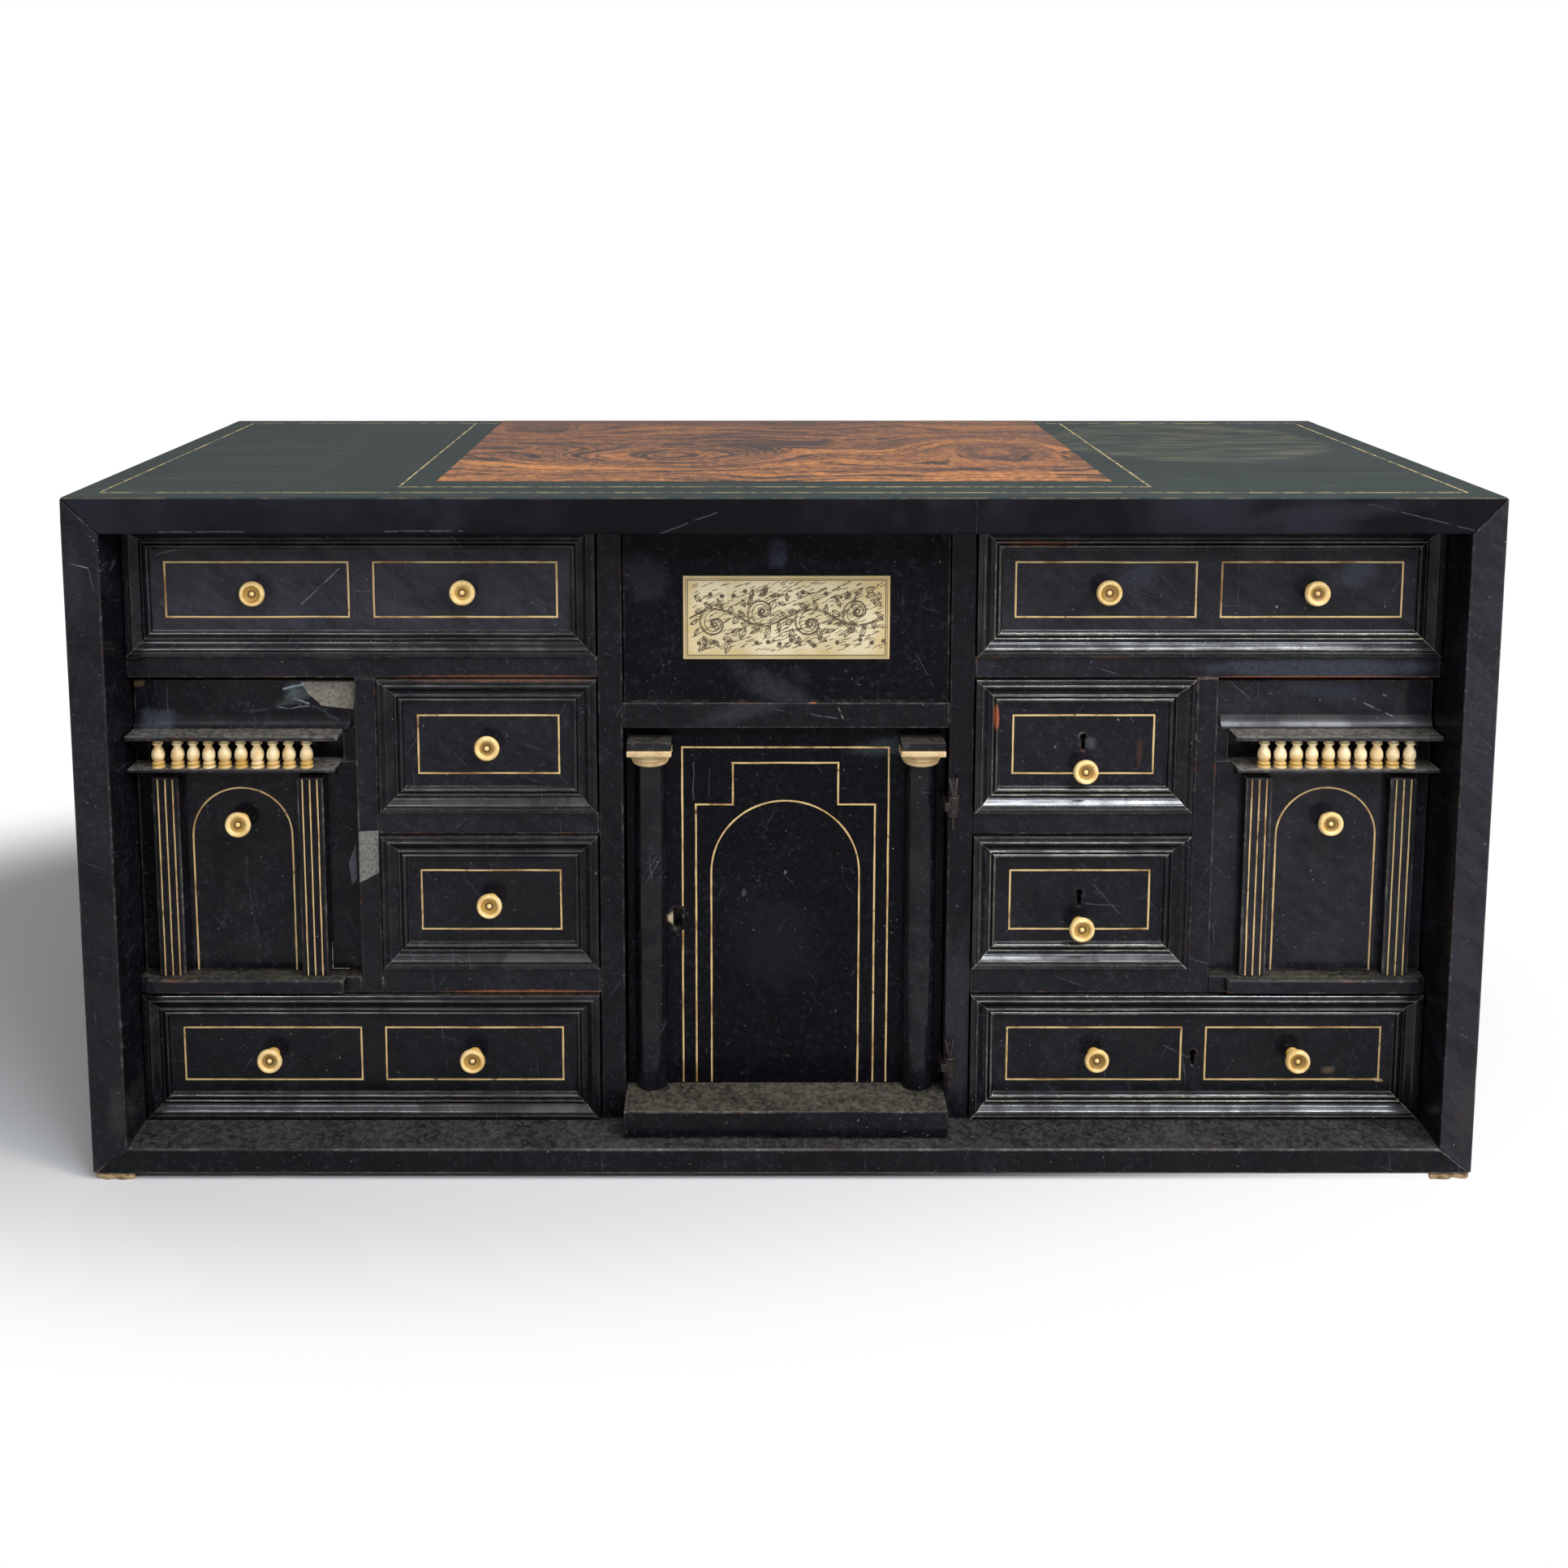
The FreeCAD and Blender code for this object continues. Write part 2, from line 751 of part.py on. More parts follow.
def temple_drawer(drawer):
    """A tall drawer whose front is a small arcade: shelves, balusters, pilasters and an arch."""
    xs, zs = drawer_front_span(drawer.opening)
    levels = temple_levels(drawer)
    arch = arched_line(temple_centre(drawer), temple_arch_radius, levels.arch_crown, zs[0], temple_y)
    pilasters, strips = temple_pilasters(drawer)
    places = knob_places(drawer)
    pocket = block(
        (xs[0] + gallery_margin, xs[1] - gallery_margin),
        (temple_y - overrun, temple_y + gallery_pocket_depth),
        (levels.lower, levels.gallery_top),
    )
    board = block(xs, (temple_y, temple_y + temple_front_thick), zs)
    for shape in [pocket, arch] + [peg(x, z, temple_y) for x, z in places]:
        board = board.cut(shape)
    return {
        "front": [board] + temple_shelves(drawer) + pilasters,
        "box": drawer_box(drawer, temple_y, temple_front_thick),
        "bone": [arch] + strips + [knob(x, z, temple_y) for x, z in places],
        "balusters": balusters(drawer),
    }


def frieze_drawer(drawer):
    """The plain drawer over the door, with a pale plaque let into its front."""
    xs, zs = drawer_front_span(drawer.opening)
    face_y = divider_y
    board = block(xs, (face_y, face_y + front_thick), zs)
    x, z = middle(xs), middle(zs) - plaque_drop
    plaque = block(
        (x - plaque_width / 2, x + plaque_width / 2),
        (face_y - plaque_proud, face_y - plaque_proud + plaque_thick),
        (z - plaque_height / 2, z + plaque_height / 2),
    )
    return {
        "front": [board.cut(plaque)],
        "box": drawer_box(drawer, face_y, front_thick),
        "plaque": [plaque],
    }


def half_column(x, radius, low, high):
    """A half-round shaft standing out of the door's face."""
    left, right = V(x - radius, door_y, low), V(x + radius, door_y, low)
    arc = Part.Arc(left, V(x, door_y - radius, low), right).toShape()
    outline = Part.Wire([arc, Part.makeLine(right, left)])
    return Part.Face(outline).extrude(UP * (high - low))


def half_ring(x, radius, z):
    """Points of a half circle standing out of the door's face."""
    angles = [math.pi * step / bowl_facets for step in range(bowl_facets + 1)]
    return [V(x - radius * math.cos(angle), door_y - radius * math.sin(angle), z) for angle in angles]


def capital(x, low, high):
    """A pale half-round bowl under a square slab."""
    bowl_top = high - abacus_height
    lip = capital_width / 2 - entablature_inset
    rings = []
    for radius_share, height_share in bowl_shares:
        radius = column_diameter / 2 + (lip - column_diameter / 2) * radius_share
        rings.append(half_ring(x, radius, low + (bowl_top - low) * height_share))
    slab = block(
        (x - capital_width / 2, x + capital_width / 2), (door_y - capital_depth, door_y), (bowl_top, high)
    )
    return fused([skinned(rings), slab])


def door_pieces():
    """The centre door with its half columns, capitals, inlaid lines, lock and hinge eyes."""
    left = centre_left + door_closing_gap
    right = centre_right - door_hinge_gap
    plan = [
        V(left, door_y, door_low),
        V(right, door_y, door_low),
        V(right, door_y + door_thick, door_low),
        V(left + door_relief, door_y + door_thick, door_low),
    ]
    panel = closed_prism(plan, UP * (door_high - door_low))
    capital_top = door_high - capital_head_drop
    capital_low = capital_top - capital_height
    columns = []
    capitals = []
    for x in (centre_bay_offset - column_offset, centre_bay_offset + column_offset):
        half = capital_width / 2 - entablature_inset
        columns.append(half_column(x, column_diameter / 2, door_low, capital_low))
        columns.append(block(
            (x - half, x + half),
            (door_y - capital_depth + entablature_inset, door_y),
            (capital_top, capital_top + entablature_height),
        ))
        capitals.append(capital(x, capital_low, capital_top))
    lines = door_lines()
    hole = keyhole(door_keyhole_x, door_keyhole_z, door_y, door_keyhole_radius, door_keyhole_radius,
                   door_keyhole_length)
    eyes = [hinge_eye(height) for height in hinge_heights()]
    for shape in lines + eyes + [hole]:
        panel = panel.cut(shape)
    return {
        "door_panel": [panel],
        "door_columns": columns,
        "door_capitals": capitals,
        "door_lines": [line.cut(hole) for line in lines],
        "door_lock": [door_lock()],
        "door_hinge_eyes": eyes,
    }


def door_lock():
    """The lock on the back of the door, with its bolt standing out towards the left partition."""
    z = door_keyhole_z - door_keyhole_length / 2
    xs = (door_keyhole_x - door_lock_width / 2, door_keyhole_x + door_lock_width / 2)
    back = (door_y + door_thick, door_y + door_thick + door_lock_thick)
    case = block(xs, back, (z - door_lock_height / 2, z + door_lock_height / 2))
    bolt = block((xs[0] - bolt_length, xs[0]), back, (z - bolt_width / 2, z + bolt_width / 2))
    return fused([case, bolt])


def door_lines():
    """Three nested lines on the door: a plain frame, a stepped frame and an arch."""
    x = centre_bay_offset
    half = centre_bay_width * outer_line_share / 2
    high = door_high - outer_line_drop
    thin = line_width
    outer = [
        (x - half, door_low), (x - half, high), (x + half, high), (x + half, door_low),
        (x + half - thin, door_low), (x + half - thin, high - thin),
        (x - half + thin, high - thin), (x - half + thin, door_low),
    ]
    wide = centre_bay_width * shoulder_share / 2
    slim = centre_bay_width * step_share / 2
    shoulder = door_high - shoulder_drop
    head = door_high - step_drop
    stepped = [
        (x - wide, door_low), (x - wide, shoulder), (x - slim, shoulder), (x - slim, head),
        (x + slim, head), (x + slim, shoulder), (x + wide, shoulder), (x + wide, door_low),
        (x + wide - thin, door_low), (x + wide - thin, shoulder - thin),
        (x + slim - thin, shoulder - thin), (x + slim - thin, head - thin),
        (x - slim + thin, head - thin), (x - slim + thin, shoulder - thin),
        (x - wide + thin, shoulder - thin), (x - wide + thin, door_low),
    ]
    return [
        line_outline(outer, door_y),
        line_outline(stepped, door_y),
        arched_line(x, centre_bay_width * door_arch_share, door_high - door_arch_drop, door_low, door_y),
    ]


def hinge_heights():
    """The middle heights of the two hinges."""
    return [door_low + lower_hinge_rise, door_high - upper_hinge_drop]


def hinge_staple(height):
    """A fixed iron staple: an upright pin between two square spikes driven into the partition."""
    low = height - pin_length / 2
    high = height + pin_length / 2
    half = spike_width / 2
    pin = Part.makeCylinder(pin_radius, pin_length, V(hinge_x, hinge_y, low), UP)
    spikes = [
        block((hinge_x - half, hinge_x + half), (hinge_y - half, divider_y + spike_length), zs)
        for zs in ((low - spike_width, low), (high, high + spike_width))
    ]
    return fused([pin] + spikes)


def hinge_eye(height):
    """The door's half of a hinge: an eye round the pin, with a strap driven into the door."""
    low = height - eye_height / 2
    barrel = turned(peg_shares, eye_radius, eye_height, V(hinge_x, hinge_y, low), UP, eye_sides)
    door_edge = centre_right - door_hinge_gap
    zs = (height - strap_height / 2, height + strap_height / 2)
    web = block((door_edge - strap_thick, hinge_x), (hinge_y - eye_radius, hinge_y), zs)
    strap = block((door_edge - strap_thick, door_edge), (hinge_y - eye_radius, door_y + strap_length), zs)
    bore = Part.makeCylinder(pin_radius + eye_clearance, eye_height + overrun + overrun,
                             V(hinge_x, hinge_y, low - overrun), UP)
    return fused([barrel, web, strap]).cut(bore)


def all_drawers(bays):
    """Every drawer, with the opening that it runs in."""
    over_door = Opening(centre_left, centre_right, frieze_low, ceiling)
    drawers = [Drawer("frieze_drawer", "frieze", over_door, 0, False)]
    for bay in bays:
        inner, outer = small_bay_edges(bay)
        wide = sorted((bay.partition_x, bay.outer_x))
        small = sorted((bay.partition_x, inner))
        tall = sorted((outer, bay.outer_x))
        locked = bay.sign > 0
        drawers += [
            Drawer("top_" + bay.side + "_drawer", "long",
                   Opening(*wide, high_opening_low, ceiling), bay.sign, False),
            Drawer("bottom_" + bay.side + "_drawer", "long",
                   Opening(*wide, base_top, low_opening_top), bay.sign, locked),
            Drawer("upper_small_" + bay.side + "_drawer", "small",
                   Opening(*small, middle_board_top, upper_board_low), bay.sign, locked),
            Drawer("lower_small_" + bay.side + "_drawer", "small",
                   Opening(*small, inner_board_top, middle_board_low), bay.sign, locked),
            Drawer("temple_" + bay.side + "_drawer", "temple",
                   Opening(*tall, outer_board_top, upper_board_low), bay.sign, False),
        ]
    return drawers


def side_bays():
    """The two banks of drawers."""
    return [
        Bay("left", -1, centre_left - partition_thick, inner_left),
        Bay("right", 1, centre_right + partition_thick, inner_right),
    ]


def all_pieces():
    """Every sub-part's name and its solids."""
    base, right_side, top, left_side = case_boards()
    veneer = veneer_panel()
    lines = top_lines()
    for shape in [veneer] + lines:
        top = top.cut(shape)
    staples = [hinge_staple(height) for height in hinge_heights()]
    right_partition = partition((centre_right, centre_right + partition_thick))
    for staple in staples:
        right_partition = right_partition.cut(staple)
    pieces = {
        "case_base": [base],
        "case_right_side": [right_side],
        "case_top": [top],
        "case_left_side": [left_side],
        "case_back": [back_panel()],
        "top_veneer": [veneer],
        "top_lines": lines,
        "foot_pads": foot_pads(),
        "left_partition": [partition((centre_left - partition_thick, centre_left))],
        "right_partition": [right_partition],
        "centre_rail": [centre_rail()],
        "door_sill": [door_sill()],
        "hinge_staples": staples,
    }
    bays = side_bays()
    for bay in bays:
        pieces[bay.side + "_bay_dividers"] = bay_dividers(bay)
    pieces.update(door_pieces())
    makers = {
        "frieze": frieze_drawer,
        "long": moulded_drawer,
        "small": moulded_drawer,
        "temple": temple_drawer,
    }
    for drawer in all_drawers(bays):
        for part, solids in makers[drawer.kind](drawer).items():
            pieces[drawer.name + "_" + part] = solids
    return pieces


def main():
    """Write one STEP file per sub-part."""
    os.makedirs("parts", exist_ok=True)
    for name, solids in all_pieces().items():
        shape = solids[0] if len(solids) == 1 else Part.makeCompound(solids)
        shape.exportStep("parts/" + name + ".step")


main()
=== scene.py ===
"""The dressed model of a low ebonised table cabinet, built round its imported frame.

Every length is in metres and every place is in the frame's own axes: X to the right, Y to the back
and Z up. New pieces are surfaces worked out on grids, and their finishes are node materials on
object coordinates.
"""

import json
import logging
import math
from dataclasses import dataclass, replace
from enum import Enum
from functools import cache

import bpy
import numpy as np
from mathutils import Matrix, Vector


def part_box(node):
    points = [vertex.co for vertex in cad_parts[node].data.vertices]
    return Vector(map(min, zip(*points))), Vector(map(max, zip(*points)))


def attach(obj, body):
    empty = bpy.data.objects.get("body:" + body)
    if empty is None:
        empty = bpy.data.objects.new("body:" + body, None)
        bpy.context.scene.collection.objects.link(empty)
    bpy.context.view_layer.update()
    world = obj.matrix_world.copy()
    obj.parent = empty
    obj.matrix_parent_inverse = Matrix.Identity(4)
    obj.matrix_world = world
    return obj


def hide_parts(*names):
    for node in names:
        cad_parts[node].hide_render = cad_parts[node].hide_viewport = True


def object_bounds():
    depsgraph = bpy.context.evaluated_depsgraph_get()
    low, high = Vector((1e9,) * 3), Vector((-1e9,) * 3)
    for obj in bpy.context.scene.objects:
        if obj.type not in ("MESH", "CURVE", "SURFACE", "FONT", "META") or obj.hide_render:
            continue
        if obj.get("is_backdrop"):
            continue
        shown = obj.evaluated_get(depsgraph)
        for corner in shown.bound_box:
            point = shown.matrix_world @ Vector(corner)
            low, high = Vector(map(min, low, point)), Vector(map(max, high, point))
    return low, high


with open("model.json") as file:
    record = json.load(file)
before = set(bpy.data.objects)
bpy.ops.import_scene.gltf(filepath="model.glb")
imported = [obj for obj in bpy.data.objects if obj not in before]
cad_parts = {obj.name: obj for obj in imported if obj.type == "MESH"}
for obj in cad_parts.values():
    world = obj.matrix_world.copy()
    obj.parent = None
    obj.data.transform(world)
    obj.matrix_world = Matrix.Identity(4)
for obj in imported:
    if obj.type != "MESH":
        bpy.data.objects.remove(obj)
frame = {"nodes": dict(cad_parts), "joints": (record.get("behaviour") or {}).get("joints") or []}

log = logging.getLogger("cabinet")

Array = np.ndarray
Material = bpy.types.Material
Pair = tuple[float, float]
Triple = tuple[float, float, float]
Colour = tuple[float, float, float, float]

MM = 0.001
FULL_TURN = 2 * math.pi
RIGHT = np.array([1.0, 0.0, 0.0])
OUTWARD = np.array([0.0, -1.0, 0.0])
UP = np.array([0.0, 0.0, 1.0])
WELD = 0.001 * MM
CREASE = math.radians(34)
# Behind this plane the case's boards are bare wood.
BARE = -122 * MM
# The level of the top's surface.
TOP_LEVEL = 442.5 * MM


class Slot(Enum):
    """The record's material slots."""

    BLACK = "ebonised"
    TOP = "stained_top"
    BURR = "burr_veneer"
    BONE = "bone"
    PLAQUE = "engraved_bone"
    LINING = "drawer_lining"
    BACK = "back_board"
    IRON = "iron"
    PAD = "pad"


# Shapes


def ripple(points: Array, pitch: float, seed: int, waves: int = 16) -> Array:
    """Smooth unevenness: the sum of seeded plane waves, each about one pitch long.

    Args:
        points: Places, with X, Y and Z last.
        pitch: The usual length from crest to crest.
        seed: The seed of the waves' directions, lengths and phases.
        waves: How many waves are summed.

    Returns:
        A value at each place, mostly from -1 to 1.
    """
    rng = np.random.default_rng(seed)
    directions = rng.normal(size=(waves, 3))
    directions /= np.linalg.norm(directions, axis=1, keepdims=True)
    lengths = pitch * rng.uniform(0.6, 1.7, (waves, 1))
    phases = rng.uniform(0, FULL_TURN, waves)
    swing = np.sin(points @ (directions / lengths * FULL_TURN).T + phases)
    return swing.sum(axis=-1) / math.sqrt(waves)


def spline(knots: list[Pair], steps: int) -> Array:
    """A Catmull-Rom curve through knots: each span blends its two ends with their neighbours.

    Args:
        knots: Points that the curve goes through. A point given twice makes a corner.
        steps: How many steps each span has.

    Returns:
        The curve's points, one row each.
    """
    points = np.array(knots, float)
    padded = np.vstack([points[:1], points, points[-1:]])
    before, start, end, after = padded[:-3], padded[1:-2], padded[2:-1], padded[3:]
    t = np.linspace(0, 1, steps, endpoint=False)[:, None, None]
    curve = 0.5 * (
        2 * start
        + (end - before) * t
        + (2 * before - 5 * start + 4 * end - after) * t**2
        + (3 * start - before - 3 * end + after) * t**3
    )
    return np.vstack([curve.transpose(1, 0, 2).reshape(-1, 2), points[-1:]])


@dataclass
class Grid:
    """A surface of points in rows and columns, with a mark at each point."""

    points: Array
    close_rows: bool = False
    close_columns: bool = False
    mark: Array | float = 0.0

    def triangles(self) -> Array:
        """Two triangles for each cell, as indices into the points taken row by row.

        Returns:
            The triangles, one row each.
        """
        rows, columns = self.points.shape[:2]
        index = np.arange(rows * columns).reshape(rows, columns)
        if self.close_rows:
            index = np.vstack([index, index[:1]])
        if self.close_columns:
            index = np.hstack([index, index[:, :1]])
        a, b, c, d = index[:-1, :-1], index[1:, :-1], index[1:, 1:], index[:-1, 1:]
        return np.stack([a, b, c, a, c, d], axis=-1).reshape(-1, 3)

    def cap(self, row: int) -> "Grid":
        """A flat cover over one row: the row drawn in to its middle.

        Args:
            row: The row, 0 or -1.

        Returns:
            The cover.
        """
        ring = self.points[row]
        hub = np.broadcast_to(ring.mean(axis=0), ring.shape)
        mark = np.broadcast_to(self.mark, self.points.shape[:2])[row]
        rows = (ring, hub) if row < 0 else (hub, ring)
        return Grid(np.stack(rows), close_columns=True, mark=np.stack([mark, mark]))


class Shell:
    """Closed surfaces gathered into one mesh."""

    def __init__(self) -> None:
        """Start with nothing gathered."""
        self.corners: list[Array] = []
        self.faces: list[Array] = []
        self.marks: list[Array] = []
        self.count = 0

    def add(self, *grids: Grid) -> "Shell":
        """Gather grids that together close one surface, weld their seams and turn it outwards.

        Args:
            grids: The grids of one closed surface.

        Returns:
            The shell itself.
        """
        points = np.concatenate([grid.points.reshape(-1, 3) for grid in grids])
        marks = np.concatenate([np.broadcast_to(g.mark, g.points.shape[:2]).ravel() for g in grids])
        starts = np.cumsum([0] + [grid.points.size // 3 for grid in grids[:-1]])
        faces = np.concatenate([grid.triangles() + start for grid, start in zip(grids, starts)])
        keys = np.round(points / WELD).astype(np.int64)
        _, first, places = np.unique(keys, axis=0, return_index=True, return_inverse=True)
        points, marks, faces = points[first], marks[first], places.ravel()[faces]
        a, b, c = faces.T
        faces = faces[(a != b) & (b != c) & (c != a)]
        corners = points[faces] - points.mean(axis=0)
        volume = np.einsum("ij,ij->", corners[:, 0], np.cross(corners[:, 1], corners[:, 2]))
        if volume < 0:
            faces = faces[:, ::-1]
        self.corners.append(points)
        self.marks.append(marks)
        self.faces.append(faces + self.count)
        self.count += len(points)
        return self

    def piece(self, name: str, body: str, slot: Slot, dress: Material,
              stands_for: tuple[str, ...] = (), flat: bool = False) -> bpy.types.Object:
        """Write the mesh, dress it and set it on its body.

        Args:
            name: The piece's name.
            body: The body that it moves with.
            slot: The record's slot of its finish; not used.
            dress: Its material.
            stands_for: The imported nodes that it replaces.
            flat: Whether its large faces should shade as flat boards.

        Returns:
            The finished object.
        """
        mesh = bpy.data.meshes.new(name)
        faces = np.concatenate(self.faces)
        mesh.from_pydata(np.concatenate(self.corners).tolist(), [], faces.tolist())
        wear = mesh.attributes.new("wear", "FLOAT", "POINT")
        wear.data.foreach_set("value", np.concatenate(self.marks).astype(np.float32))
        mesh.shade_smooth()
        mesh.set_sharp_from_angle(angle=CREASE)
        mesh.materials.append(dress)
        piece = bpy.data.objects.new(name, mesh)
        bpy.context.scene.collection.objects.link(piece)
        if flat:
            modifier = piece.modifiers.new("flat faces", "WEIGHTED_NORMAL")
            modifier.keep_sharp = True
        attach(piece, body)
        if stands_for:
            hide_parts(*stands_for)
        log.info("%s: %d faces on %s", name, len(faces), body)
        return piece


def spaced(low: float, high: float, radius: float, cell: float, margin: float, arc: int = 2) -> Array:
    """Positions along one side of a rounded block: close over its rounded ends, even between.

    Args:
        low: The side's lower end.
        high: The side's upper end.
        radius: The rounding's radius.
        cell: The usual step on the flat.
        margin: How far past the rounding a further position lies.
        arc: Steps over half of a rounding.

    Returns:
        The positions in order.
    """
    bend = radius * np.tan(np.linspace(math.pi / 4, 0, arc + 1))[:-1]
    start, end = low + radius, high - radius
    if end - start > 3 * margin:
        inner = np.linspace(start + margin, end - margin, max(1, round((end - start) / cell)) + 1)
        flat = np.concatenate([[start], inner, [end]])
    else:
        flat = np.array([start, end])
    return np.concatenate([start - bend, flat, (end + bend)[::-1]])


def block(low: Triple, high: Triple, radius: float = 0.8 * MM,
          cell: float = 12 * MM, chip: float = 0.0, seed: int = 1) -> list[Grid]:
    """A board with rounded arrises: a box's surface drawn in to a set distance round a smaller box.

    Each point of the outer box is replaced by the nearest point of the inner box, plus radius in
    the direction from that point to it. The mark is 1 on the arrises and falls to 0 on the faces.

    Args:
        low: The lowest corner.
        high: The highest corner.
        radius: The arrises' radius.
        cell: The usual step over the faces.
        chip: How deep the knocks in the arrises go.
        seed: The seed of the knocks.

    Returns:
        The six faces' grids.
    """
    low, high = np.array(low, float), np.array(high, float)
    radius = min(radius, 0.49 * float((high - low).min()))
    margin = 1.6 * MM
    steps = [spaced(low[axis], high[axis], radius, cell, margin) for axis in range(3)]
    grids = []
    for axis in range(3):
        u, v = (axis + 1) % 3, (axis + 2) % 3
        for turn, side in ((-1, low), (1, high)):
            points = np.empty((len(steps[u]), len(steps[v]), 3))
            points[..., axis] = side[axis]
            points[..., u] = steps[u][:, None]
            points[..., v] = steps[v][None, :]
            points = points[::turn]
            inset = np.sort(np.minimum(points - low, high - points), axis=-1)[..., 1]
            mark = np.clip(1 - inset / (radius + margin), 0, 1)
            core = np.clip(points, low + radius, high - radius)
            arm = points - core
            arm /= np.linalg.norm(arm, axis=-1, keepdims=True)
            reach = np.full(mark.shape, radius)
            if chip:
                knock = np.clip(ripple(points, 26 * MM, seed) - 0.9, 0, 1) + 0.15
                reach = reach - chip * mark**2 * knock
            grids.append(Grid(core + arm * reach[..., None], mark=mark))
    return grids


def mitred(grids: list[Grid], low: Array, high: Array, axis: int, depth_axis: int, outer: float,
           cuts: Pair) -> list[Grid]:
    """Slant a board's two ends: the further a point is from the outer face, the more it is drawn in.

    Args:
        grids: The board's grids.
        low: The board's lowest corner.
        high: The board's highest corner.
        axis: The axis that the board runs along.
        depth_axis: The axis through its thickness.
        outer: The outer face's place on the depth axis.
        cuts: How far the inner face stops short of each end.

    Returns:
        The same grids, slanted.
    """
    thick = high[depth_axis] - low[depth_axis]
    for grid in grids:
        place = grid.points[..., axis]
        share = np.abs(grid.points[..., depth_axis] - outer) / thick
        start = low[axis] + share * cuts[0]
        end = high[axis] - share * cuts[1]
        grid.points[..., axis] = start + (place - low[axis]) * (end - start) / (high[axis] - low[axis])
    return grids


def turned(profile: Array, foot: Array, axis: Array, across: Array, sides: int,
           marks: Array | float = 0.0) -> Grid:
    """A turning: a profile of radius and height swept once round an axis.

    Args:
        profile: Rows of radius and height, from foot to tip.
        foot: Where height is zero.
        axis: The direction of height.
        across: A direction at right angles to it.
        sides: Points in each ring.
        marks: The mark at each row of the profile.

    Returns:
        The grid, closed round the axis.
    """
    angle = np.linspace(0, FULL_TURN, sides, endpoint=False)[None, :, None]
    spoke = np.cos(angle) * across + np.sin(angle) * np.cross(axis, across)
    points = foot + profile[:, 1, None, None] * axis + profile[:, 0, None, None] * spoke
    mark = np.broadcast_to(np.asarray(marks, float).reshape(-1, 1), points.shape[:2])
    return Grid(points, close_columns=True, mark=mark)


def carried_round(xs: Pair, zs: Pair, section: Array, marks: Array,
                  face_y: float, cell: float, seed: int, wear: tuple[float, float, float, float]) -> Grid:
    """A section carried round a rectangle: each of its points keeps its inset from all four sides.

    Args:
        xs: The rectangle's left and right.
        zs: Its foot and head.
        section: Rows of inset and height, round a closed outline.
        marks: The mark at each point of the section.
        face_y: The plane that heights are measured from, outwards.
        cell: The usual step along the sides.
        seed: The seed of a slight unevenness.
        wear: How much of the mark the foot, the right side, the head and the left side keep; on the drawer mouldings
            the mark is painted highlight as well as wear.

    Returns:
        The grid, closed both ways.
    """
    inset, height = section.T
    x = np.stack([xs[0] + inset, xs[1] - inset, xs[1] - inset, xs[0] + inset])
    z = np.stack([zs[0] + inset, zs[0] + inset, zs[1] - inset, zs[1] - inset])
    corners = np.stack([x, np.broadcast_to(face_y - height, x.shape), z], axis=-1)[:, None]
    near = 0.8 * MM / (xs[1] - xs[0])
    stations = np.concatenate([[0], np.linspace(near, 1 - near, round((xs[1] - xs[0]) / cell))])
    t = stations[None, :, None, None]
    points = (corners * (1 - t) + np.roll(corners, -1, axis=0) * t).reshape(-1, len(section), 3)
    points[..., 1] += 0.12 * MM * ripple(points, 45 * MM, seed) * (height > 0)
    mitre = np.tile(stations == 0, 4)[:, None]
    kept = marks * np.repeat(wear, len(stations))[:, None]
    return Grid(points, close_rows=True, close_columns=True, mark=np.maximum(kept, mitre * (height > 0)))


def filled(corners: list[Pair], cell: float, closed: bool) -> Array:
    """Points along straight runs between corners, about a cell apart, with every corner kept.

    Args:
        corners: The corners in order.
        cell: The usual step.
        closed: Whether the last run returns to the start.

    Returns:
        The points, one row each.
    """
    ends = np.array(corners + corners[:1] if closed else corners, float)
    runs = []
    for start, end in zip(ends, ends[1:]):
        steps = max(1, round(float(np.linalg.norm(end - start)) / cell))
        runs.append(start + (end - start) * np.linspace(0, 1, steps, endpoint=False)[:, None])
    if not closed:
        runs.append(ends[-1:])
    return np.vstack(runs)


def arched(centre: float, radius: float, foot: float, spring: float, cell: float, steps: int) -> Array:
    """A round-headed outline: a leg, half of a circle from its head, and the leg's mirror image.

    Args:
        centre: The middle of the arch.
        radius: Its radius.
        foot: Where the legs start.
        spring: Where the half circle starts.
        cell: The step along the legs.
        steps: Points round the half circle.

    Returns:
        The outline's points, from the left foot to the right.
    """
    turn = np.linspace(math.pi, 0, steps)
    leg = filled([(centre - radius, foot), (centre - radius, spring)], cell, False)[:-1]
    head = np.column_stack([centre + radius * np.cos(turn), spring + radius * np.sin(turn)])
    return np.vstack([leg, head, leg[::-1] * np.array([-1, 1]) + np.array([2 * centre, 0])])


class Face(Enum):
    """The two kinds of face that lines are let into."""

    FRONT = "front"
    TOP = "top"


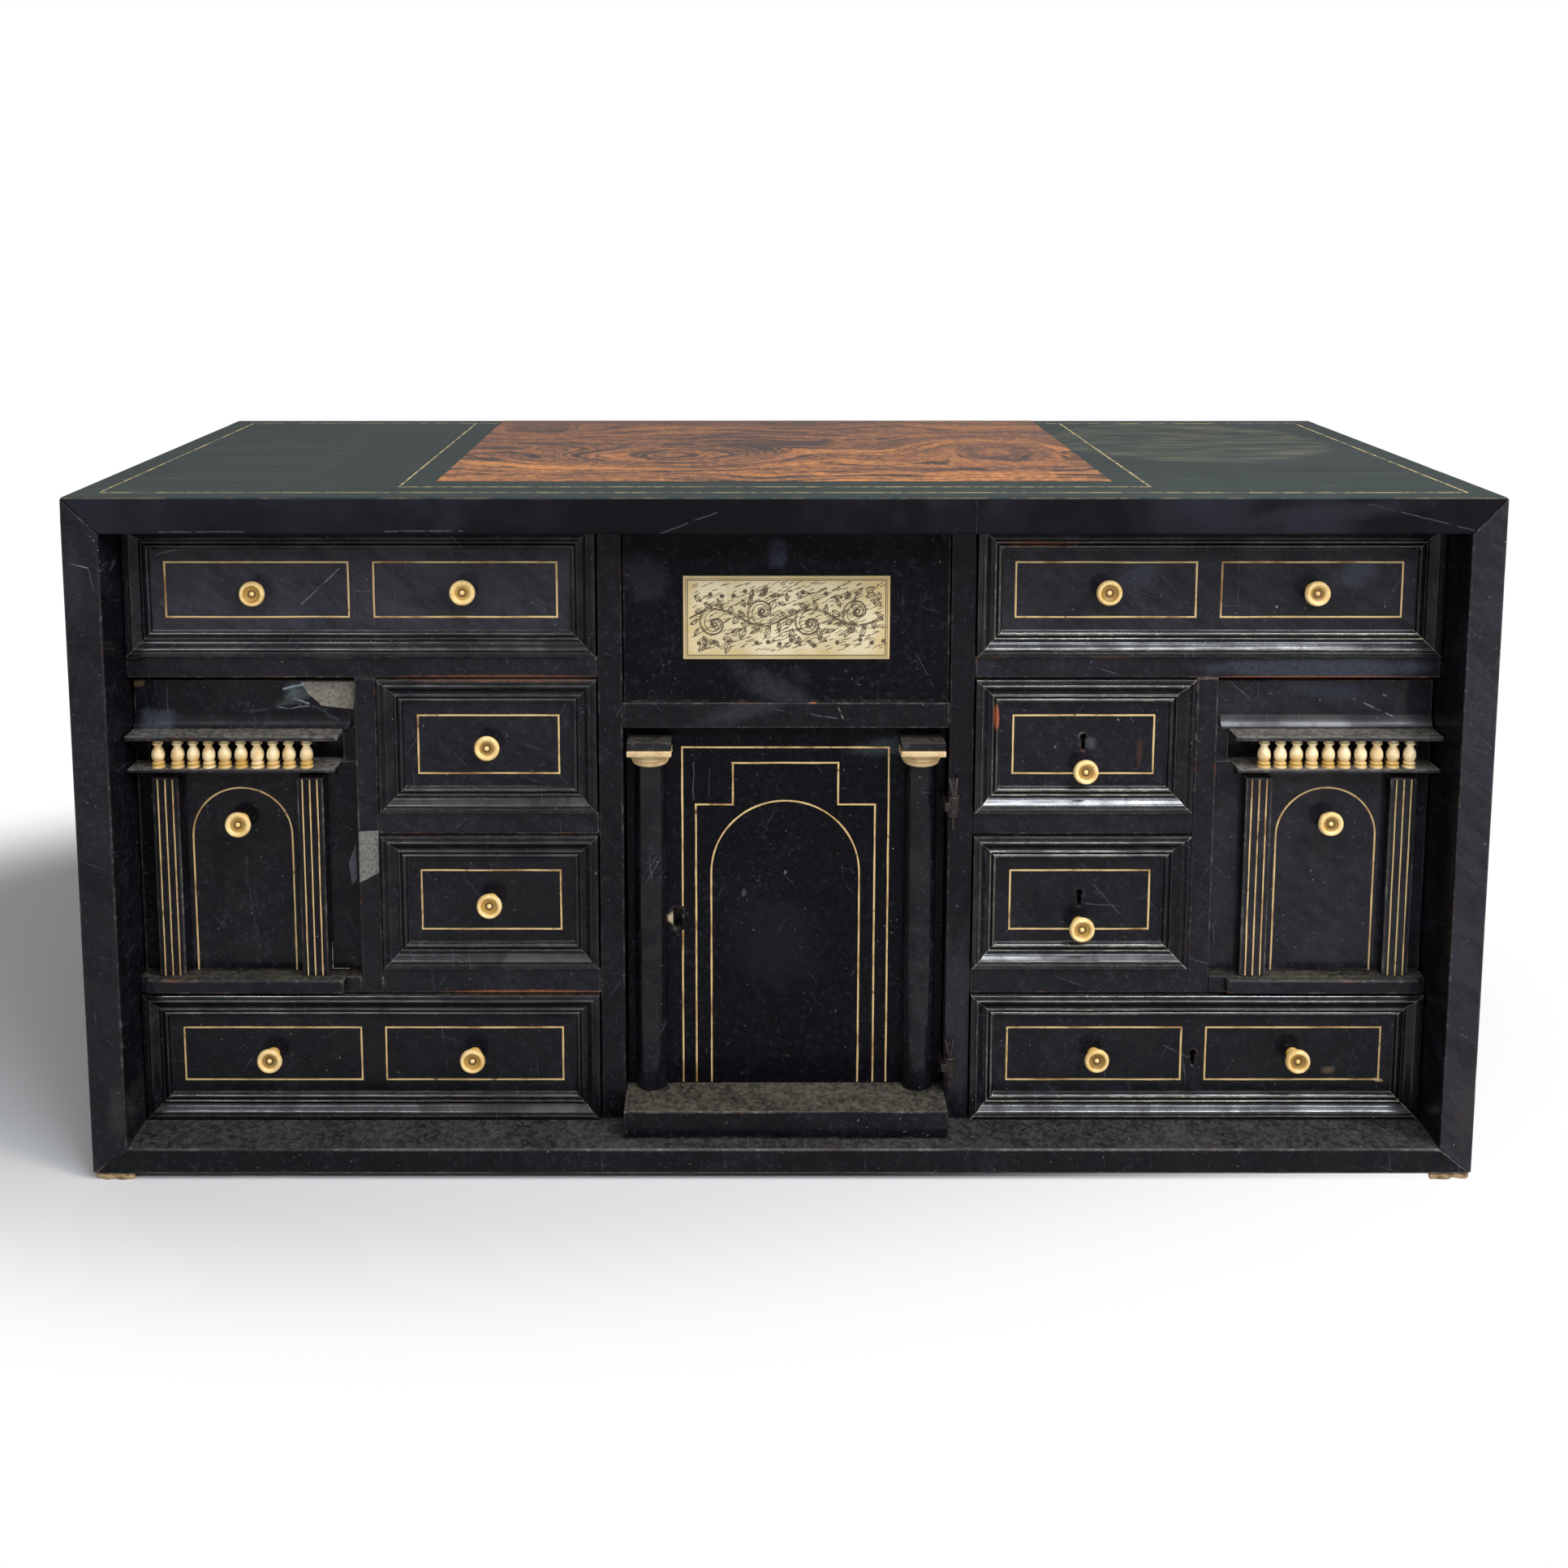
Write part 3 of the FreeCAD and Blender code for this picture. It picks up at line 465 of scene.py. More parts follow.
def inlaid_line(path: Array, closed: bool, width: float, level: float, face: Face, seed: int) -> list[Grid]:
    """A thin strip along a path: each point moved to both sides by half a slightly uneven width.

    At a corner the move is along the mean of the two runs' normals, lengthened to keep the width.

    Args:
        path: Rows of two coordinates in the face.
        closed: Whether the path is a loop.
        width: The strip's width.
        level: The face's place on the axis through it.
        face: The kind of face.
        seed: The seed of the unevenness.

    Returns:
        The strip's grids.
    """
    ahead = np.roll(path, -1, axis=0) - path
    ahead /= np.linalg.norm(ahead, axis=1, keepdims=True) + 1e-12
    behind = np.roll(ahead, 1, axis=0)
    if not closed:
        ahead[-1] = ahead[-2]
        behind[0] = ahead[0]
    side_a, side_b = (np.stack([-d[:, 1], d[:, 0]], axis=1) for d in (ahead, behind))
    lean = (side_a + side_b) / (1 + (side_a * side_b).sum(axis=1, keepdims=True))
    flat = np.column_stack([path, np.zeros(len(path))])
    drift = 0.06 * MM * ripple(flat, 35 * MM, seed)[:, None]
    half = width / 2 * (1 + 0.1 * ripple(flat, 14 * MM, seed + 1))[:, None]
    left, right = path + lean * (drift - half), path + lean * (drift + half)
    proud, sunk = 0.06 * MM, 0.9 * MM
    ring = np.stack([left, left, right, right], axis=1)
    depth = np.array([-sunk, proud, proud, -sunk])
    points = np.empty((len(path), 4, 3))
    points[..., 0] = ring[..., 0]
    if face is Face.FRONT:
        points[..., 1] = level - depth
        points[..., 2] = ring[..., 1]
    else:
        points[..., 1] = ring[..., 1]
        points[..., 2] = level + depth
    band = Grid(points, close_rows=closed, close_columns=True, mark=1.0)
    return [band] if closed else [band, band.cap(0), band.cap(-1)]


def bent_rod(path: Array, radii: Array, sides: int = 10) -> list[Grid]:
    """A round rod along a path: a ring at each point, square to the path's direction there.

    Args:
        path: Rows of X, Y and Z.
        radii: The rod's radius at each point.
        sides: Points in each ring.

    Returns:
        The rod's grids.
    """
    ahead = np.gradient(path, axis=0)
    ahead /= np.linalg.norm(ahead, axis=1, keepdims=True)
    hint = np.array([0.31, 0.9, 0.29])
    across = np.cross(ahead, hint)
    across /= np.linalg.norm(across, axis=1, keepdims=True)
    other = np.cross(ahead, across)
    angle = np.linspace(0, FULL_TURN, sides, endpoint=False)[None, :, None]
    spoke = np.cos(angle) * across[:, None] + np.sin(angle) * other[:, None]
    tube = Grid(path[:, None] + spoke * radii[:, None, None], close_columns=True, mark=0.5)
    return [tube, tube.cap(0), tube.cap(-1)]


# Materials


class Wire:
    """A shader socket that can be written into sums."""

    def __init__(self, nodes: "Nodes", socket: bpy.types.NodeSocket) -> None:
        """Hold a socket of a node tree."""
        self.nodes = nodes
        self.socket = socket

    def _sum(self, operation: str, first: "Wire | float", second: "Wire | float") -> "Wire":
        """One Math node."""
        return self.nodes.node("ShaderNodeMath", {"operation": operation}, {0: first, 1: second})

    def __add__(self, other: "Wire | float") -> "Wire":
        """Sum."""
        return self._sum("ADD", self, other)

    __radd__ = __add__

    def __sub__(self, other: "Wire | float") -> "Wire":
        """Difference."""
        return self._sum("SUBTRACT", self, other)

    def __rsub__(self, other: float) -> "Wire":
        """Difference, reflected."""
        return self._sum("SUBTRACT", other, self)

    def __mul__(self, other: "Wire | float") -> "Wire":
        """Product."""
        return self._sum("MULTIPLY", self, other)

    __rmul__ = __mul__

    def most(self, other: "Wire | float") -> "Wire":
        """The larger of the two."""
        return self._sum("MAXIMUM", self, other)

    def least(self, other: "Wire | float") -> "Wire":
        """The smaller of the two."""
        return self._sum("MINIMUM", self, other)

    def size(self) -> "Wire":
        """The value without its sign."""
        return self._sum("ABSOLUTE", self, 0.0)

    def rise(self, low: float, high: float) -> "Wire":
        """A smooth step from 0 at low to 1 at high, or from 1 to 0 where low is the greater.

        Args:
            low: Where the step starts.
            high: Where it ends.

        Returns:
            The step.
        """
        if low > high:
            return 1 - self.rise(high, low)
        return self.nodes.node("ShaderNodeMapRange", {"interpolation_type": "SMOOTHSTEP"},
                               {"Value": self, "From Min": low, "From Max": high})


class Nodes:
    """The nodes of one material or world."""

    def __init__(self, owner: Material | bpy.types.World) -> None:
        """Start an empty tree.

        Args:
            owner: What the nodes belong to.
        """
        owner.use_nodes = True
        self.tree = owner.node_tree
        self.tree.nodes.clear()

    def node(self, kind: str, settings: dict, inputs: dict, output: int | str | None = 0) -> Wire | None:
        """Add one node.

        Args:
            kind: The node's type.
            settings: Its own settings, set first.
            inputs: Values or wires by socket name or number.
            output: Which of its outputs is wanted, or None for a node that ends the tree.

        Returns:
            That output.
        """
        node = self.tree.nodes.new(kind)
        for key, value in settings.items():
            setattr(node, key, value)
        for key, value in inputs.items():
            if isinstance(value, Wire):
                self.tree.links.new(value.socket, node.inputs[key])
            else:
                node.inputs[key].default_value = value
        return None if output is None else Wire(self, node.outputs[output])

    def seen(self) -> Wire:
        """1 for what the camera sees, also in a reflection or through glass.

        Returns:
            The sum of the three tests.
        """
        camera, glossy, through = (self.node("ShaderNodeLightPath", {}, {}, f"Is {kind} Ray")
                                   for kind in ("Camera", "Glossy", "Transmission"))
        return camera + glossy + through

    def close(self, shader: Wire, kind: str = "ShaderNodeOutputMaterial") -> None:
        """Lead a shader to the tree's output."""
        self.node(kind, {}, {"Surface": shader}, None)


class Recipe(Nodes):
    """The nodes of one material, with the places that its patterns read."""

    def __init__(self, name: str) -> None:
        """Start an empty material.

        Args:
            name: The material's name.
        """
        self.material = bpy.data.materials.new(name)
        super().__init__(self.material)
        self.place = self.node("ShaderNodeTexCoord", {}, {}, "Object")
        self.x, self.y, self.z = (self.node("ShaderNodeSeparateXYZ", {}, {0: self.place}, axis) for axis in range(3))

    def mark(self) -> Wire:
        """The mark that the mesh carries at each point."""
        return self.node("ShaderNodeAttribute", {"attribute_name": "wear"}, {}, "Fac")

    def facing(self, axis: int) -> Wire:
        """How far the surface faces along one axis."""
        normal = self.node("ShaderNodeNewGeometry", {}, {}, "Normal")
        return self.node("ShaderNodeSeparateXYZ", {}, {0: normal}, axis)

    def stretched(self, scale: Triple, turn: Triple = (0, 0, 0),
                  source: Wire | None = None) -> Wire:
        """Places turned by one Mapping node and then scaled by another.

        Args:
            scale: The scale on each axis.
            turn: The turn about each axis.
            source: The places, if not the object's own.

        Returns:
            The new places.
        """
        if any(turn):
            source = self.node("ShaderNodeMapping", {}, {"Vector": source or self.place, "Rotation": turn})
        return self.node("ShaderNodeMapping", {}, {"Vector": source or self.place, "Scale": scale})

    def noise(self, scale: float, detail: float = 3.0, rough: float = 0.6, warp: float = 0.0,
              source: Wire | None = None, seed: float = 0.0) -> Wire:
        """Noise from 0 to 1.

        Args:
            scale: How fine it is.
            detail: How many finer layers it has.
            rough: How strong each finer layer is.
            warp: How much it is distorted.
            source: The places, if not the object's own.
            seed: Moves it to another part of the pattern.

        Returns:
            The noise.
        """
        return self.node("ShaderNodeTexNoise", {"noise_dimensions": "4D"},
                         {"Vector": source or self.place, "W": seed, "Scale": scale, "Detail": detail,
                          "Roughness": rough, "Distortion": warp})

    def streaks(self, scale: Triple, detail: float = 4.0, seed: float = 0.0,
                turn: Triple = (0, 0, 0)) -> Wire:
        """Noise drawn out along the axes where scale is small."""
        return self.noise(1.0, detail, source=self.stretched(scale, turn), seed=seed)

    def mix(self, share: Wire | float, low: "Wire | Colour", high: "Wire | Colour") -> Wire:
        """Two colours mixed."""
        return self.node("ShaderNodeMix", {"data_type": "RGBA"}, {0: share, 6: low, 7: high}, 2)

    def vector(self, operation: str, first: Wire, second: "Wire | tuple", output: int = 0) -> Wire:
        """One Vector Math node."""
        return self.node("ShaderNodeVectorMath", {"operation": operation}, {0: first, 1: second}, output)

    def oval(self, centre: Triple, reach: Triple,
             turn: Triple = (0, 0, 0)) -> Wire:
        """How far a place is from an oval's centre, where 1 is its rim."""
        moved = self.stretched((1, 1, 1), turn, self.vector("SUBTRACT", self.place, centre))
        return self.vector("LENGTH", self.vector("DIVIDE", moved, reach), (0, 0, 0), 1)

    def bump(self, height: Wire, strength: float, distance: float) -> Wire:
        """A bumped normal."""
        return self.node("ShaderNodeBump", {}, {"Height": height, "Strength": strength, "Distance": distance})

    def finish(self, inputs: dict) -> Material:
        """Close the material with a Principled shader that takes these values or wires."""
        self.close(self.node("ShaderNodeBsdfPrincipled", {}, inputs))
        return self.material


def tone(red: float, green: float, blue: float) -> Colour:
    """A colour from its display values, 0 to 255, as linear light.

    Args:
        red: The red value.
        green: The green value.
        blue: The blue value.

    Returns:
        The colour, with full cover.
    """
    shares = [value / 255 for value in (red, green, blue)]
    linear = [s / 12.92 if s <= 0.04045 else ((s + 0.055) / 1.055) ** 2.4 for s in shares]
    return (*linear, 1.0)


@dataclass(frozen=True)
class Patch:
    """A local change of the finish, in millimetres: an oval with a ragged rim, or a squarish one."""

    x: float
    z: float
    wide: float
    high: float
    colour: Colour
    amount: float = 1.0
    tilt: float = 0.0
    ragged: float = 0.35
    square: bool = False

    def cover(self, r: Recipe) -> Wire:
        """How much of the finish the patch hides at each place.

        Args:
            r: The material's nodes.

        Returns:
            The share that is hidden, from 0 to 1.
        """
        centre, wide, high = (self.x * MM, 0, self.z * MM), self.wide * MM, self.high * MM
        if self.square:
            tilted = r.stretched((1, 1, 1), (0, self.tilt, 0), r.vector("SUBTRACT", r.place, centre))
            parts = [r.node("ShaderNodeSeparateXYZ", {}, {0: tilted}, axis).size() for axis in (0, 2)]
            rim = (parts[0] * (1 / wide)).most(parts[1] * (1 / high))
        else:
            rim = r.oval(centre, (wide, 10.0, high), (0, self.tilt, 0))
        rough = rim + (r.noise(130.0, 3, seed=centre[0] * 90) - 0.5) * self.ragged * 2
        soft = 0.06 + self.ragged * 0.6
        return rough.rise(1 + soft, 1 - soft) * self.amount


@dataclass(frozen=True)
class Scratch:
    """A thin line across the finish, in millimetres, from one point of the front to another."""

    start: Pair
    end: Pair
    width: float
    colour: Colour
    amount: float = 0.8
    wander: float = 1.0

    def cover(self, r: Recipe) -> Wire:
        """How much of the finish the line hides: a band round a wandering straight run.

        Args:
            r: The material's nodes.

        Returns:
            The share that is hidden, from 0 to 1.
        """
        start, end = np.multiply(self.start, MM).tolist(), np.multiply(self.end, MM).tolist()
        run = np.subtract(end, start)
        length = float(np.hypot(*run))
        ahead = (float(run[0]) / length, 0.0, float(run[1]) / length)
        moved = r.vector("SUBTRACT", r.place, (start[0], 0, start[1]))
        along = r.vector("DOT_PRODUCT", moved, ahead, 1)
        aside = r.vector("DOT_PRODUCT", moved, (-ahead[2], 0.0, ahead[0]), 1)
        past = (along - along.most(0.0).least(length)).size()
        sway = (r.noise(70.0, 2, seed=start[0] * 70) - 0.5) * (2 * self.wander * MM)
        breaks = r.noise(180.0, 2, seed=end[0] * 50).rise(0.36, 0.5)
        width = self.width * MM
        return ((aside + sway).size() + past).rise(width, width * 0.35) * breaks * self.amount


@dataclass(frozen=True)
class Shred:
    """The rest of something stuck on, in millimetres: the overlap of half-planes."""

    corners: tuple[Pair, ...]
    colour: Colour
    amount: float = 0.95
    soft: float = 0.25 * MM

    def cover(self, r: Recipe) -> Wire:
        """How much of the finish it hides: the least of how far a place is inside each edge.

        Args:
            r: The material's nodes.

        Returns:
            The share that is hidden, from 0 to 1.
        """
        ends = np.array(self.corners) * MM
        wobble = (r.noise(260.0, 3) - 0.5) * (0.8 * MM)
        inside = None
        for start, end in zip(ends, np.roll(ends, -1, axis=0)):
            side = np.array([start[1] - end[1], end[0] - start[0]]) / np.linalg.norm(end - start)
            side *= np.sign(side @ (ends.mean(axis=0) - start))
            moved = r.vector("SUBTRACT", r.place, (start[0], 0, start[1]))
            share = (r.vector("DOT_PRODUCT", moved, (side[0], 0, side[1]), 1) + wobble).rise(-self.soft, self.soft)
            inside = share if inside is None else inside.least(share)
        return inside * self.amount


@dataclass(frozen=True)
class Ebonised:
    """Old black-stained wood: hazy polish, fine scratches, pale specks, rubbed arrises, dust, and a painted sheen on
    front faces; on the mouldings the pale arrises are painted highlight as well as wear.
    """

    name: str
    grain: Triple = (9.0, 160.0, 160.0)
    black: Colour = tone(9, 8, 12)
    haze: Colour = tone(27, 26, 33)
    rubbed: Colour = tone(128, 124, 118)
    brown: Colour = tone(104, 58, 32)
    dust_colour: Colour = tone(88, 82, 72)
    dust: float = 0.7
    rub: float = 0.5
    browning: float = 0.35
    gloss: float = 0.3
    polish: float = 0.18
    hazy: float = 0.6
    even: float = 0.16
    hollow: float = 0.0
    upward: float = 0.0
    coat: float = 1.5
    base_shine: float = 0.06
    coat_rough: float = 0.11
    smooth: bool = False
    # How strongly front faces take a painted sheen standing in for reflection, and its pale bluish colour.
    painted_sheen: float = 0.0
    painted_sheen_colour: Colour = tone(72, 69, 77)
    raw_from: float | None = None
    raw: Colour = tone(96, 60, 46)
    bare_from: float | None = None
    scars_and_sheens: tuple[Patch | Scratch | Shred, ...] = ()
    seed: float = 0.0

    def dress(self) -> Material:
        """Build the material.

        Returns:
            The material.
        """
        r = Recipe(self.name)
        fibres = r.streaks(self.grain, 5, self.seed)
        clouds = r.noise(12.0, 4, 0.6, 0.6, seed=self.seed + 3)
        smears = r.noise(34.0, 3, 0.5, 1.2, seed=self.seed + 5)
        fine = r.noise(620.0, 2, seed=self.seed)
        grit = r.noise(480.0, 2, 0.6, seed=self.seed + 9)
        colour = r.mix((clouds.rise(0.42, 0.72) * 0.7 + fibres.rise(0.5, 0.8) * 0.3) * self.hazy, self.black, self.haze)
        colour = r.mix(smears.rise(0.5, 0.74) * self.hazy * 0.3, colour, tone(50, 48, 58))
        # Painted sheen: faces that look to the front are lifted towards a pale bluish grey in slanted streaks, standing
        # in for reflection.
        painted_sheen_streaks = r.noise(1.0, 4, 0.65, 0.8, r.stretched((70.0, 70.0, 16.0), (0, 0.9, 0)), self.seed + 7)
        if self.painted_sheen:
            front = r.facing(1).rise(-0.4, -0.8)
            colour = r.mix(self.painted_sheen * (0.35 + 0.65 * painted_sheen_streaks.rise(0.3, 0.66)) * front, colour, self.painted_sheen_colour)
        grain = r.noise(240.0, 5, 0.85, seed=self.seed + 25)
        colour = r.mix(grain.rise(0.5, 0.72) * (0.1 + 0.22 * clouds.rise(0.35, 0.65)), colour, tone(88, 84, 94))
        colour = r.mix(grain.rise(0.48, 0.3) * 0.5, colour, tone(8, 8, 10))
        mark = r.mark()
        edge = mark.rise(0.3, 0.95)
        browned = r.streaks((26.0, 26.0, 90.0), 3, self.seed + 11).rise(0.57, 0.68) * edge * self.browning
        colour = r.mix(browned, colour, self.brown)
        chips = r.noise(150.0, 4, 0.7, seed=self.seed + 17)
        worn = edge * (self.even + (1 - self.even) * chips.rise(0.5, 0.62))
        worn = worn * r.noise(16.0, 2, seed=self.seed + 19).rise(0.28, 0.6)
        # Pale rubbed arrises: wear, and on the drawer mouldings also painted highlight lines.
        colour = r.mix(worn * self.rub, colour, self.rubbed)
        hairs = r.streaks((900.0, 30.0, 24.0), 1, self.seed + 2, (0, 0.1, 0)).rise(0.71, 0.77)
        for angle in (0.75, -0.55, 1.25):
            hairs = hairs.most(r.streaks((1100.0, 30.0, 26.0), 1, self.seed + angle, (0, angle, 0)).rise(0.72, 0.78))
        colour = r.mix(hairs * smears.rise(0.46, 0.62) * 0.42, colour, tone(104, 104, 112))
        crumbs = 1 - grit.rise(0.4, 0.66) * 0.45
        # Marks from the table, among them a few painted sheens and reflections.
        for scar_or_sheen in self.scars_and_sheens:
            colour = r.mix(scar_or_sheen.cover(r) * crumbs, colour, scar_or_sheen.colour)
        lying = r.noise(260.0, 5, 0.8, seed=self.seed + 21).rise(0.4, 0.62) * 0.75
        lying = lying + r.noise(24.0, 4, 0.65, 0.6, seed=self.seed + 23).rise(0.38, 0.62) * 0.25
        settled = r.facing(2).rise(0.55, 0.93) * self.dust * (0.12 + 0.88 * lying)
        colour = r.mix(settled, colour, self.dust_colour)
        specks = (grit.rise(0.69, 0.75) * 0.6).most(r.noise(190.0, 2, seed=self.seed + 27).rise(0.755, 0.8) * 0.8)
        colour = r.mix(specks, colour, tone(156, 152, 148))
        rough = self.gloss + 0.22 * smears.rise(0.35, 0.7) + 0.4 * settled + 0.08 * fibres
        shine = self.polish * (1 - settled) * (0.4 + 0.6 * smears.rise(0.66, 0.36)) * (1 - worn * 0.5)
        if self.hollow:
            shine = shine * (1 - self.hollow + self.hollow * mark.rise(0.03, 0.27))
        if self.upward:
            shine = shine * (1 - self.upward + self.upward * r.facing(2).rise(0.08, 0.42))
        if self.bare_from is not None:
            bare = self.inside(r)
            wood = r.mix(r.streaks((30.0, 6.0, 30.0), 4, 4.0).rise(0.3, 0.7), tone(92, 66, 42), tone(66, 45, 28))
            colour = r.mix(bare, colour, wood)
            rough = rough + 0.3 * bare
            shine = shine * (1 - bare)
        if self.raw_from is not None:
            raw = r.facing(2).rise(0.4, 0.8) * r.z.rise(self.raw_from - 0.3 * MM, self.raw_from)
            colour = r.mix(raw, colour, r.mix(smears.rise(0.35, 0.65), self.raw, tone(48, 30, 26)))
            rough = rough + 0.3 * raw
            shine = shine * (1 - raw)
        height = fibres * 0.5 + fine * 0.25 + clouds * 1.2 + specks * 0.5 - hairs * 0.4
        return r.finish({
            "Base Color": colour, "Roughness": rough.least(0.95), "Specular IOR Level": self.base_shine,
            "Coat Weight": shine, "Coat Roughness": self.coat_rough, "Coat IOR": self.coat,
            "Normal": r.bump(height, 0.14 if self.smooth else 0.32, 0.5 * MM),
        })

    def inside(self, r: Recipe) -> Wire:
        """1 on the bare wood behind the fronts, and 0 on everything that was stained.

        Args:
            r: The material's nodes.

        Returns:
            The mask.
        """
        low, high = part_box("case_back")
        past = r.y.rise(self.bare_from, self.bare_from + 1.5 * MM)
        for place, axis in ((r.x, 0), (r.z, 2)):
            half = (high[axis] - low[axis]) / 2
            past = past * (place - (low[axis] + half)).size().rise(half + 1.5 * MM, half)
        return past


@dataclass(frozen=True)
class StainedTop:
    """The top's greenish black stain, with long fine streaks and a worn golden ring."""

    dark: Colour = tone(30, 38, 38)
    pale: Colour = tone(56, 64, 61)
    gold: Colour = tone(138, 132, 108)
    ring_centre: Triple = (0.305, 0.06, TOP_LEVEL)
    ring_reach: Triple = (0.098, 0.098, 0.1)

    def dress(self) -> Material:
        """Build the material.

        Returns:
            The material.
        """
        r = Recipe("stained_top")
        streaks = r.streaks((7.0, 230.0, 40.0), 5)
        clouds = r.noise(8.0, 4, 0.6, 0.5)
        colour = r.mix(streaks.rise(0.35, 0.68) * 0.6 + clouds.rise(0.35, 0.7) * 0.4, self.dark, self.pale)
        rim = r.oval(self.ring_centre, self.ring_reach) + (r.noise(20.0, 3, seed=5.0) - 0.5) * 0.16
        rubbed = r.streaks((26.0, 330.0, 60.0), 6, 3.0)
        ring = (rim.rise(0.72, 0.93) * rim.rise(1.1, 0.96) * 0.7 + rim.rise(1.0, 0.7) * 0.6) * rubbed.rise(0.45, 0.62)
        colour = r.mix(ring * 0.5, colour, self.gold)
        edge = r.mark().rise(0.45, 1.0) * r.noise(60.0, 4, 0.65, seed=7.0).rise(0.45, 0.66)
        colour = r.mix(edge * 0.5, colour, tone(132, 118, 94))
        specks = r.noise(300.0, 2, seed=9.0).rise(0.7, 0.76)
        colour = r.mix(specks * 0.5, colour, tone(176, 174, 164))
        scrapes = r.streaks((30.0, 700.0, 10.0), 2, 12.0).rise(0.66, 0.74) * clouds.rise(0.5, 0.6)
        colour = r.mix(scrapes * 0.3, colour, tone(140, 142, 134))
        front = r.facing(2).rise(0.6, 0.2)
        colour = r.mix(front, colour, r.mix(clouds.rise(0.42, 0.66), tone(9, 8, 12), tone(32, 31, 38)))
        for scar_or_sheen in SCARS_AND_SHEENS["case_top"]:
            colour = r.mix(scar_or_sheen.cover(r) * front, colour, scar_or_sheen.colour)
        colour = r.mix(Ebonised("", bare_from=BARE).inside(r), colour, tone(84, 60, 38))
        return r.finish({
            "Base Color": colour, "Roughness": 0.56 + 0.14 * clouds - 0.12 * front + 0.06 * streaks,
            "Specular IOR Level": 0.07, "Normal": r.bump(streaks * 0.6 + clouds, 0.3, 0.4 * MM),
        })


@dataclass(frozen=True)
class BurrVeneer:
    """Figured veneer: grain that closes into ovals round a few eyes, with dark cracks along it."""

    light: Colour = tone(208, 136, 74)
    warm: Colour = tone(142, 90, 58)
    dark: Colour = tone(70, 48, 42)
    vein: Colour = tone(34, 25, 25)

    def dress(self) -> Material:
        """Build the material. The grain's lines are the contours of a slope with three hills on it.

        Returns:
            The material.
        """
        r = Recipe("burr_veneer")
        slope = r.y * 1.0 + (r.noise(7.0, 2, 0.5) - 0.5) * 0.11 + (r.noise(24.0, 3, 0.55, seed=2.0) - 0.5) * 0.03
        hills = (((-0.075, -0.02), (0.125, 0.07), 0.105), ((0.15, 0.03), (0.085, 0.1), -0.1),
                 ((-0.19, 0.11), (0.08, 0.06), 0.05))
        for (x, y), (wide, deep), rise in hills:
            slope = slope + r.oval((x, y, TOP_LEVEL), (wide, deep, 10.0)).rise(1.0, 0.0) * rise
        level, finer = (r.node("ShaderNodeCombineXYZ", {}, {0: slope, 1: r.x * share, 2: r.y * share})
                        for share in (0.1, 0.3))
        bands = r.noise(34.0, 3, 0.6, source=level)
        lines = r.noise(150.0, 4, 0.7, source=level, seed=2.0)
        pores = r.noise(560.0, 2, 0.7, source=finer)
        mottle = r.streaks((190.0, 120.0, 1.0), 5, 21.0)
        figure = bands * 0.42 + lines * 0.28 + mottle * 0.3
        colour = r.mix(figure.rise(0.4, 0.53), self.dark, self.warm)
        colour = r.mix(figure.rise(0.49, 0.62), colour, self.light)
        flecks = r.noise(210.0, 4, 0.8, 1.2, seed=31.0)
        colour = r.mix(flecks.rise(0.53, 0.62) * 0.6, colour, tone(70, 46, 38))
        colour = r.mix(flecks.rise(0.44, 0.36) * 0.35, colour, tone(232, 176, 112))
        veins = None
        for scale, width, seed in ((18.0, 0.02, 8.0), (31.0, 0.03, 9.0)):
            crease = (r.noise(scale, 3, 0.6, source=level, seed=seed) - 0.5).size()
            line = crease.rise(width, width * 0.4) * r.noise(15.0, 3, seed=seed + 3).rise(0.44, 0.54)
            veins = line if veins is None else veins.most(line)
        colour = r.mix(veins * 0.95, colour, self.vein)
        colour = r.mix(pores.rise(0.54, 0.66) * 0.4, colour, self.dark)
        greyed = r.y.rise(-0.04, 0.19) * 0.55 + r.noise(11.0, 3, seed=13.0).rise(0.5, 0.72) * 0.25
        colour = r.mix(greyed, colour, tone(100, 78, 72))
        edge = r.mark().rise(0.5, 1.0) * r.noise(90.0, 3, seed=15.0).rise(0.4, 0.6)
        colour = r.mix(edge * 0.8, colour, self.vein)
        return r.finish({
            "Base Color": colour, "Roughness": 0.5 + 0.12 * lines + 0.15 * greyed, "Specular IOR Level": 0.1,
            "Normal": r.bump(lines * 0.5 + pores * 0.3 - veins * 0.8, 0.35, 0.3 * MM),
        })


@dataclass(frozen=True)
class BoneLine:
    """Thin inlaid strips: tan bone, browner along its edges, dirty and broken in places."""

    name: str = "bone_line"
    bone: Colour = tone(206, 174, 120)
    stained: Colour = tone(140, 100, 56)
    dirt: Colour = tone(40, 32, 26)
    broken: float = 0.6

    def dress(self) -> Material:
        """Build the material.

        Returns:
            The material.
        """
        r = Recipe(self.name)
        change = r.noise(38.0, 4, 0.65)
        dirt = r.noise(120.0, 4, 0.6, seed=4.0)
        colour = r.mix(change.rise(0.45, 0.68), self.bone, self.stained)
        colour = r.mix(dirt.rise(self.broken, self.broken + 0.1) * 0.85, colour, self.dirt)
        return r.finish({
            "Base Color": colour, "Roughness": 0.5 + 0.2 * change, "Specular IOR Level": 0.3,
            "Normal": r.bump(dirt, 0.3, 0.1 * MM),
        })


